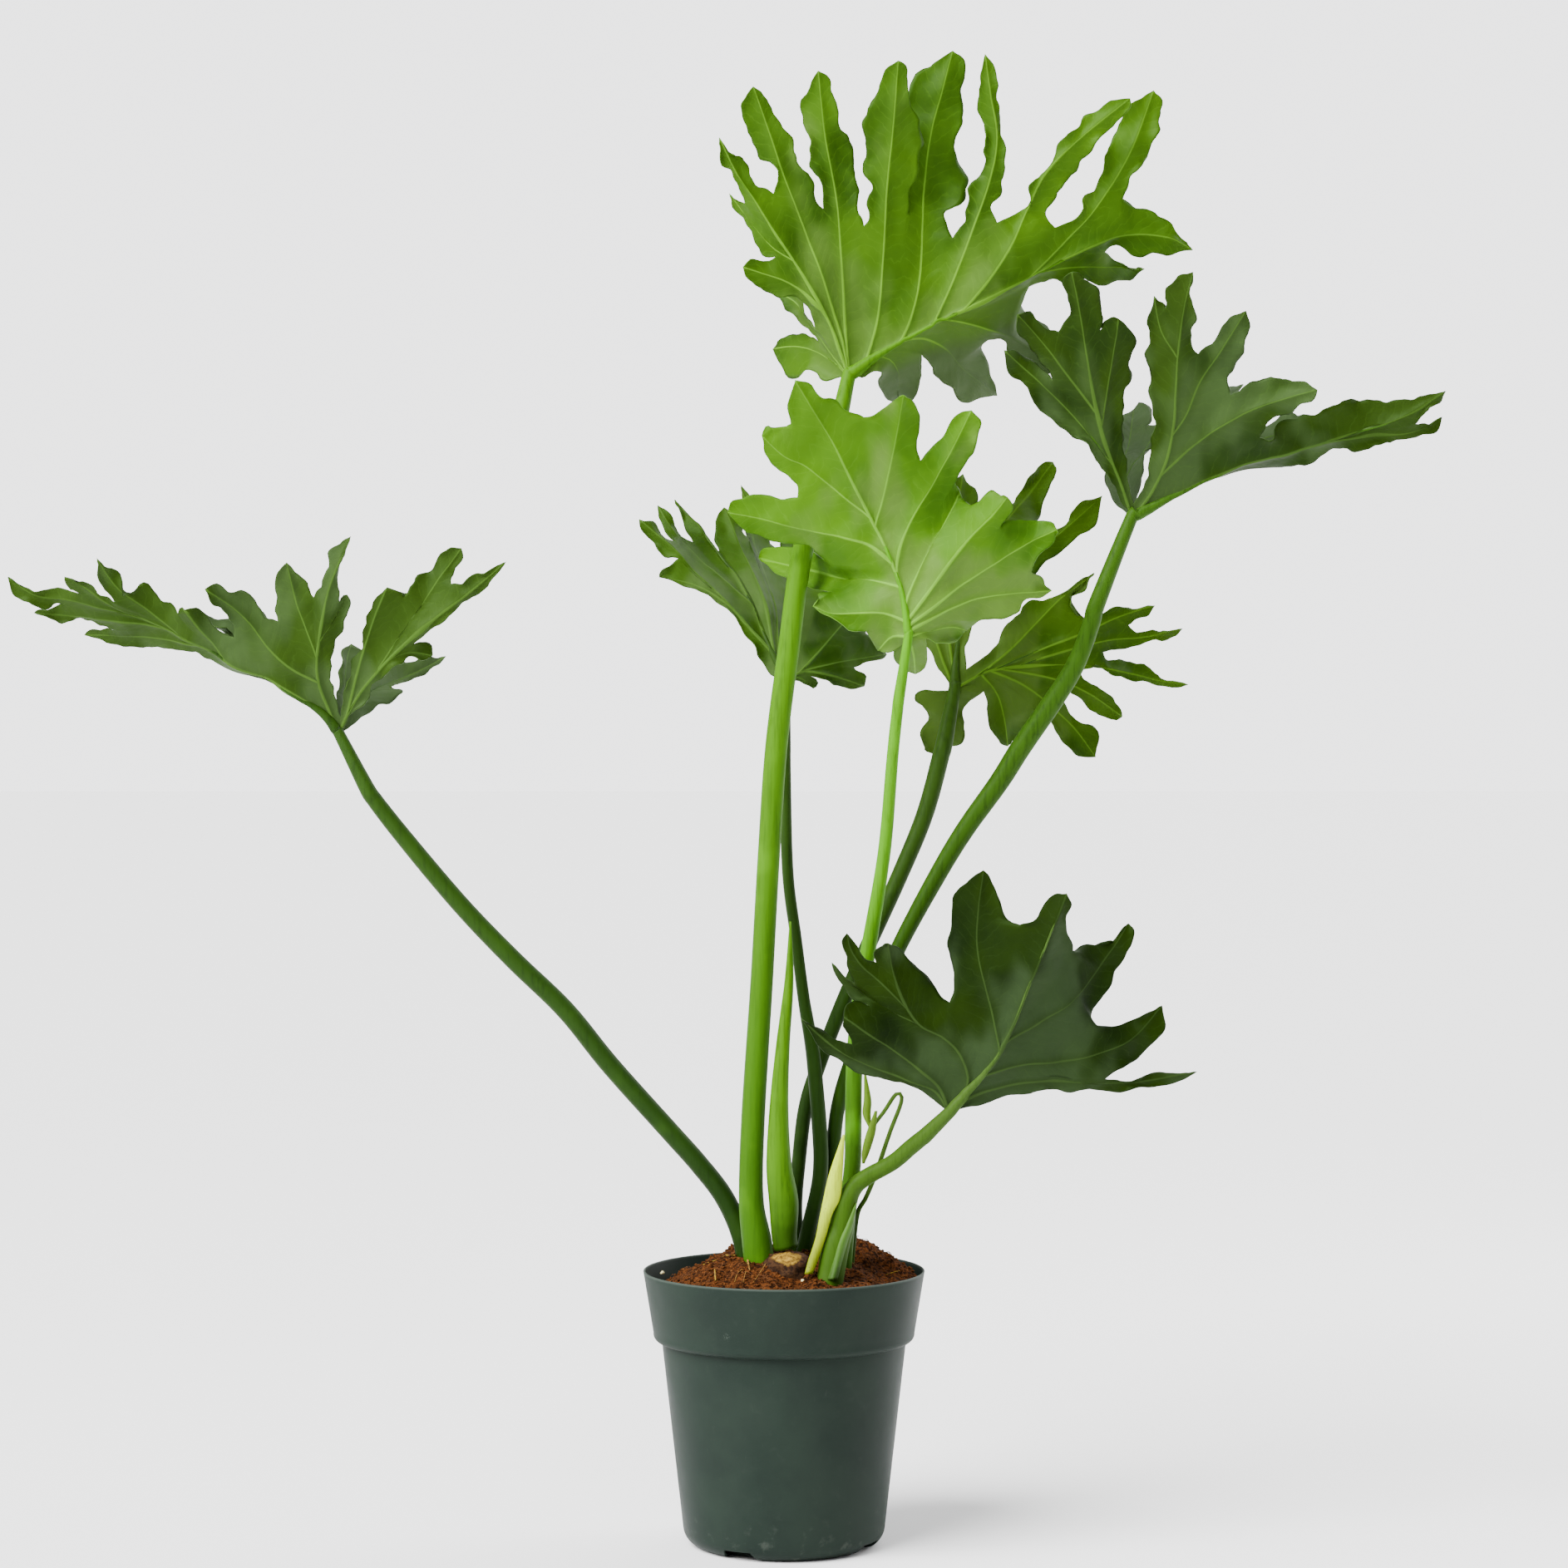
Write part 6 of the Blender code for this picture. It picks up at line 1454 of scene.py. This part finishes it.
class Skin:
    """A material in the making: its shader and the colour that it has so far."""

    def __init__(self, name, roughness, gloss):
        self.material = bpy.data.materials.new(name)
        self.material.use_nodes = True
        self.tree = self.material.node_tree
        self.shader = self.tree.nodes["Principled BSDF"]
        self.shader.inputs["Roughness"].default_value = roughness
        self.shader.inputs["Specular IOR Level"].default_value = gloss
        self.where = node(self.tree, "ShaderNodeTexCoord").outputs["Object"]
        self.colour = None

    def height(self):
        """How high a place is, in metres."""
        return self.add("ShaderNodeSeparateXYZ", {0: self.where}).outputs[2]

    def add(self, kind, inputs=None, **settings):
        """One more node of the material."""
        return node(self.tree, kind, inputs, **settings)

    def attribute(self, name):
        """A value that the mesh has at each of its places."""
        return self.add("ShaderNodeAttribute", attribute_name=name).outputs["Fac"]

    def noise(self, scale, detail=3.0, rough=0.55, stretch=None):
        """Soft random grey in object coordinates; scale is in features a metre."""
        where = self.where
        if stretch is not None:
            where = self.add("ShaderNodeMapping", {"Vector": where, "Scale": stretch}).outputs[0]
        inputs = {"Vector": where, "Scale": scale, "Detail": detail, "Roughness": rough}
        return self.add("ShaderNodeTexNoise", inputs).outputs["Fac"]

    def sums(self, operation, a, b=0.0, c=0.0):
        """Arithmetic on values."""
        return self.add("ShaderNodeMath", {0: a, 1: b, 2: c}, operation=operation).outputs[0]

    def times(self, a, b):
        """Product of two values."""
        return self.sums("MULTIPLY", a, b)

    def span(self, value, low, high, to_low=0.0, to_high=1.0):
        """A value carried smoothly from one range to another."""
        inputs = {"Value": value, "From Min": low, "From Max": high, "To Min": to_low,
                  "To Max": to_high}
        made = self.add("ShaderNodeMapRange", inputs, interpolation_type="SMOOTHSTEP")
        return made.outputs["Result"]

    def mix(self, share, a, b):
        """Colour b over colour a."""
        a, b = (c if isinstance(c, bpy.types.NodeSocket) else (*c, 1.0) for c in (a, b))
        return self.add("ShaderNodeMix", {0: share, 6: a, 7: b}, data_type="RGBA").outputs[2]

    def tint(self, share, over):
        """Lays a colour over the one so far."""
        self.colour = self.mix(share, self.colour, over)

    def finish(self, relief, strength, distance):
        """Gives the shader its colour and a fine relief; returns the material."""
        self.tree.links.new(self.colour, self.shader.inputs["Base Color"])
        bump = self.add("ShaderNodeBump", {"Height": relief, "Strength": strength,
                                           "Distance": distance})
        self.tree.links.new(bump.outputs[0], self.shader.inputs["Normal"])
        return self.material


def tone(colour, share=1.0):
    """Base colour from units of reflected light."""
    return tuple(share * (value * TONE) for value in colour)


def leaf_material(name, deep, fresh, vein, back, glow, painted_sheen, through, gloss, spread):
    """Green leaf: patchy colour, pale ribs, fine side veins, light that comes through, painted
    light and sheen.
    """
    skin = Skin(name, LEAF_ROUGH, gloss)
    skin.shader.inputs["Specular Tint"].default_value = (*SHEEN_TINT, 1.0)
    reach = skin.attribute("reach")
    fine = skin.noise(LEAF_GRAIN, 4.0)
    skin.colour = skin.mix(skin.span(skin.noise(LEAF_PATCH, 1.0), 0.28, 0.72), deep, fresh)
    skin.tint(skin.span(fine, 0.35, 0.75, 0.0, 0.25), fresh)
    # Painted light: each blade grows lighter and fresher towards its tips
    skin.tint(skin.span(reach, 0.55, 1.0, 0.0, 0.8), fresh)
    # Painted sheen: paler grey-green patches, fewer towards the tips
    spots = skin.noise(PAINTED_SHEEN_SPOTS, 2.0, stretch=PAINTED_SHEEN_STRETCH)
    spots = skin.sums("ADD", skin.sums("MULTIPLY_ADD", reach, PAINTED_SHEEN_FALL, spots), spread)
    skin.tint(skin.span(spots, *PAINTED_SHEEN_EDGE, 0.0, 0.7), painted_sheen)
    run = skin.add("ShaderNodeUVMap", uv_map="run").outputs[0]
    run = skin.add("ShaderNodeSeparateXYZ", {0: run})
    along, off = run.outputs[0], skin.sums("ABSOLUTE", run.outputs[1])
    slant = skin.sums("SUBTRACT", along, skin.times(off, VEINLET_SLANT))
    drift = skin.times(skin.noise(VEINLET_WANDER, 4.0), VEINLET_DRIFT)
    phase = skin.sums("FRACT", skin.sums("DIVIDE", skin.sums("ADD", slant, drift), VEINLET_GAP))
    ripple = skin.sums("ABSOLUTE", skin.sums("SUBTRACT", phase, 0.5))
    beside = skin.span(off, *VEINLET_REACH)
    veinlet = skin.times(skin.span(ripple, *VEINLET_LINE), beside)
    skin.tint(skin.times(veinlet, VEINLET_SHOW), vein)
    width = skin.times(skin.attribute("width"), RUN_SCALE)
    rib = skin.span(skin.sums("DIVIDE", off, width), *VEIN_LINE)
    skin.tint(skin.span(off, VEIN_HALO, 0.0, 0.0, 0.35), fresh)
    skin.tint(skin.times(rib, skin.span(reach, 0.1, 0.9, 0.8, 0.4)), vein)
    skin.tint(skin.span(skin.attribute("edge"), 0.55, 1.0, 0.0, 0.5), deep)
    far = skin.mix(skin.times(rib, 0.4), skin.mix(0.5, skin.colour, back), vein)
    # Painted grey sheen: the marked part of the near side takes the back side's tone
    skin.tint(skin.times(skin.attribute("painted_grey_sheen"), 0.85), back)
    skin.tint(skin.attribute("upper"), far)
    swell = skin.times(skin.times(ripple, beside), 0.25)
    swell = skin.sums("ADD", swell, skin.times(fine, 0.25))
    swell = skin.sums("ADD", swell, skin.times(skin.noise(LEAF_SWELL, 1.0), 1.6))
    thin = skin.add("ShaderNodeBsdfTranslucent", {"Color": skin.mix(0.5, skin.colour, glow)})
    both = skin.add("ShaderNodeMixShader", {0: through, 1: skin.shader.outputs[0],
                                            2: thin.outputs[0]})
    surface = skin.tree.nodes["Material Output"].inputs["Surface"]
    skin.tree.links.new(both.outputs[0], surface)
    return skin.finish(swell, *LEAF_RELIEF)


def stalk_material(name, low_colour, high_colour, low, high):
    """Smooth stalk: colour that changes with height, faint lengthwise lines and patches."""
    skin = Skin(name, STALK_ROUGH, STALK_GLOSS)
    skin.colour = skin.mix(skin.span(skin.height(), low, high), tone(low_colour),
                           tone(high_colour))
    streak = skin.noise(500.0, stretch=(1.0, 1.0, 0.06))
    skin.tint(skin.span(streak, 0.45, 0.75, 0.0, 0.5), tone(low_colour, 0.62))
    skin.tint(skin.span(skin.noise(40.0, 2.0), 0.5, 0.8, 0.0, 0.4), tone(high_colour, 1.35))
    return skin.finish(streak, 0.25, 0.0006)


def scale_material(name, low_colour, high_colour, low, high):
    """Drying leaf scale: lengthwise lines, brown specks and a paler top."""
    skin = Skin(name, 0.55, 0.15)
    skin.colour = skin.mix(skin.span(skin.height(), low, high), tone(low_colour),
                           tone(high_colour))
    line = skin.noise(1100.0, stretch=(1.0, 1.0, 0.08))
    skin.tint(skin.span(line, 0.45, 0.7, 0.0, 0.35), tone(low_colour, 0.6))
    skin.tint(skin.span(skin.noise(700.0, 2.0), 0.68, 0.76, 0.0, 0.8), tone(SCALE_SPECK))
    return skin.finish(line, 0.4, 0.0005)


def pot_material():
    """Dark green moulded plastic, slightly uneven in gloss, with fine rubbed marks."""
    skin = Skin("green_plastic", POT_ROUGH, POT_GLOSS)
    height = skin.height()
    cloud = skin.noise(22.0)
    skin.colour = skin.mix(skin.span(cloud, 0.3, 0.7), *map(tone, POT_TONES))
    dust = skin.times(skin.span(skin.noise(140.0, 5.0), 0.55, 0.75),
                      skin.span(height, 0.03, 0.0, 0.04, 0.5))
    skin.tint(dust, tone(POT_DUST))
    rubbed = skin.noise(900.0, 4.0, stretch=(1.0, 1.0, 0.12))
    skin.tint(skin.span(rubbed, 0.66, 0.80, 0.0, 0.22), tone(POT_RUBBED))
    away = skin.add("ShaderNodeVectorMath", {0: skin.where, 1: POT_MARK},
                    operation="DISTANCE").outputs["Value"]
    mark = skin.times(skin.span(away, 0.0035, 0.0010),
                      skin.span(skin.noise(1500.0, 2.0), 0.5, 0.6))
    skin.tint(skin.times(mark, 0.6), tone(POT_SCUFF))
    # Painted highlight: a paler band along the top of the lip
    lip = skin.span(height, RIM_HEIGHT - 0.0016, RIM_HEIGHT - 0.0004, 0.0, 0.45)
    skin.tint(lip, tone(POT_LIP_HIGHLIGHT))
    skin.tree.links.new(skin.span(cloud, 0.3, 0.7, 0.44, 0.56), skin.shader.inputs["Roughness"])
    return skin.finish(skin.noise(1400.0, 2.0), 0.12, 0.0003)


def soil_material(name, dark, mid, light, scale):
    """Coir and peat: red-brown grains with dark gaps and pale flecks, partly painted shade and
    highlight.
    """
    skin = Skin(name, 0.95, 0.05)
    grain = skin.noise(scale, 6.0, rough=0.7)
    # Darker where the relief is low and in broad patches: partly dark bits of the mix, partly
    # painted shade
    skin.colour = skin.mix(skin.span(grain, 0.40, 0.60), tone(dark), tone(mid))
    skin.tint(skin.span(skin.noise(55.0), 0.52, 0.72, 0.0, 0.6), tone(dark))
    # Paler on the raised grains: partly pale flecks, partly painted highlight
    skin.tint(skin.span(grain, 0.60, 0.74, 0.0, 0.9), tone(light))
    return skin.finish(grain, 0.9, 0.0012)


def plain_material(name, one, two, roughness, scale):
    """Two close colours in soft grain, for small bits."""
    skin = Skin(name, roughness, 0.1)
    grain = skin.noise(scale, 4.0)
    skin.colour = skin.mix(skin.span(grain, 0.35, 0.65), tone(one), tone(two))
    return skin.finish(grain, 0.5, 0.0005)


def bark_material():
    """Brown corky base with a yellow oval scar."""
    skin = Skin("corky_base", 0.85, 0.08)
    grain = skin.noise(420.0, 5.0, rough=0.65)
    share = skin.span(grain, 0.35, 0.65)
    skin.colour = skin.mix(share, *map(tone, BARK_TONES))
    local = skin.add("ShaderNodeMapping", {"Vector": skin.where, "Location": SCAR_SHIFT,
                                           "Scale": SCAR_SCALE}).outputs[0]
    away = skin.add("ShaderNodeVectorMath", {0: local}, operation="LENGTH").outputs["Value"]
    away = skin.sums("ADD", away, skin.times(skin.noise(150.0), 0.9))
    scar = skin.mix(share, *map(tone, SCAR_TONES))
    skin.tint(skin.span(away, 1.45, 1.15), scar)
    return skin.finish(grain, 0.8, 0.0012)


def make_plant():
    """Leaves and stalks, each with its own green."""
    for name, rows in STALKS.items():
        *tones, through, gloss, spread = LEAF_TONES[name]
        leaf = leaf_material("leaf_skin_" + name, *map(tone, tones), through, gloss, spread)
        veins = make_leaf(name, leaf)
        make_stalk(name, rows, veins, stalk_material("stalk_skin_" + name, *STALK_TONES[name]))


def make_new_leaf():
    """The rolled leaf: a tight roll with its overlapping seam and a pointed tip."""
    skin = stalk_material("rolled_leaf_skin", *ROLL_TONES)
    run = drawn_run(SPEAR, STALK_POINTS)
    places, faces = tube(run, ROLL_SIDES)
    start, wind, from_ring = ROLL_SEAM
    shaped = []
    for i, spot in enumerate(places):
        k, s = divmod(i, ROLL_SIDES)
        seam = TURN * s / ROLL_SIDES - start - wind * (k - from_ring)
        lap = ROLL_LAP[1] * (1.0 - ((seam / TURN) % 1.0))
        shaped.append(run[k][0] + (spot - run[k][0]) * (ROLL_LAP[0] + lap))
    settle(add_mesh("rolled_leaf", (shaped, faces), skin), "new_leaf")


def make_scales():
    """Scales around the stalks, and the green sheath at the foot of the low leaf."""
    pale = scale_material("pale_scale", *PALE_SCALE)
    green = scale_material("green_scale", *GREEN_SCALE)
    flap = scale_material("green_sheath", *FLAP_TONES)
    settle(add_mesh("pale_sheath", strap(CATAPHYLL, *SHEATH_SHAPE), pale), "cataphyll")
    settle(add_mesh("sheath_tip", strap(BRACT, *TIP_SHAPE), green), "bract")
    settle(add_mesh("dry_husk", strap(HUSK, *TIP_SHAPE), green), "husk")
    settle(add_mesh("green_sheath", strap(SHEATH, *FLAP_SHAPE), flap))


def make_shoot():
    """The thin side shoot that bends back at its top."""
    skin = stalk_material("shoot_skin", *SHOOT_TONES)
    shape = tube(drawn_run(SIDE_SHOOT, SHOOT_POINTS), SHOOT_SIDES)
    settle(add_mesh("thin_shoot", shape, skin), "side_shoot")


def make_ground():
    """Potting mix with its crumbs, fibres, roots and bits."""
    rng = np.random.default_rng(SEED)
    make_soil(soil_material("coir_mix", *MIX_TONES))
    make_crumbs(soil_material("coir_crumbs", *CRUMB_TONES), rng)
    make_fibres(plain_material("coir_fibre", *FIBRE_TONES), rng)
    make_roots(plain_material("root_skin", *ROOT_TONES))
    make_trunk(bark_material())
    make_bits(rng)


def make_room():
    """Plain pale floor that runs to the horizon, and the room's soft light."""
    skin = Skin("pale_floor", 0.7, 0.2)
    pale = skin.mix(skin.noise(3.0, 2.0), (FLOOR_PALE,) * 3, (FLOOR_PALE * 0.99,) * 3)
    skin.tree.links.new(pale, skin.shader.inputs["Base Color"])
    corners = [(x * FLOOR_HALF, y * FLOOR_HALF, 0) for x, y in ((-1, -1), (1, -1), (1, 1), (-1, 1))]
    floor = add_mesh("floor", (corners, [(0, 1, 2, 3)]), skin.material, smooth=False)
    world = bpy.data.worlds.new("studio")
    world.use_nodes = True
    tree = world.node_tree
    room = tree.nodes["Background"]
    room.inputs["Color"].default_value = (*ROOM_COLOUR, 1.0)
    room.inputs["Strength"].default_value = ROOM_LIGHT
    wall = node(tree, "ShaderNodeBackground", {"Color": (*ROOM_COLOUR, 1.0),
                                               "Strength": WALL_LIGHT})
    seen = node(tree, "ShaderNodeLightPath").outputs["Is Camera Ray"]
    both = node(tree, "ShaderNodeMixShader", {0: seen, 1: room.outputs[0], 2: wall.outputs[0]})
    tree.links.new(both.outputs[0], tree.nodes["World Output"].inputs["Surface"])
    bpy.context.scene.world = world


def make_lights():
    """Wide distant lights and two soft boxes."""
    for name, direction, power, spread in SUNS:
        sun = bpy.data.lights.new(name, "SUN")
        sun.energy = power
        sun.angle = math.radians(spread)
        new_object(name, sun).rotation_euler = Vector(direction).to_track_quat("Z", "Y").to_euler()
    for name, spot, aim, size, power in LIGHTS:
        light = bpy.data.lights.new(name, "AREA")
        light.shape = "RECTANGLE"
        light.size, light.size_y = size
        light.energy = power
        lamp = new_object(name, light)
        lamp.location = spot
        lamp.rotation_euler = (Vector(aim) - Vector(spot)).to_track_quat("-Z", "Y").to_euler()


def make_camera():
    """Level camera at the photographed view."""
    camera = bpy.data.cameras.new("camera")
    camera.sensor_width = SENSOR
    camera.sensor_height = SENSOR
    camera.lens = LENS
    camera.clip_end = 2.5 * FLOOR_HALF
    eye = new_object("camera", camera)
    eye.location = (0.0, -EYE_DISTANCE, EYE_HEIGHT)
    eye.rotation_euler = (math.radians(90.0), 0.0, 0.0)
    bpy.context.scene.camera = eye


BALL = ball()
make_room()
make_lights()
make_camera()
make_pot(pot_material())
make_ground()
make_plant()
make_new_leaf()
make_scales()
make_shoot()
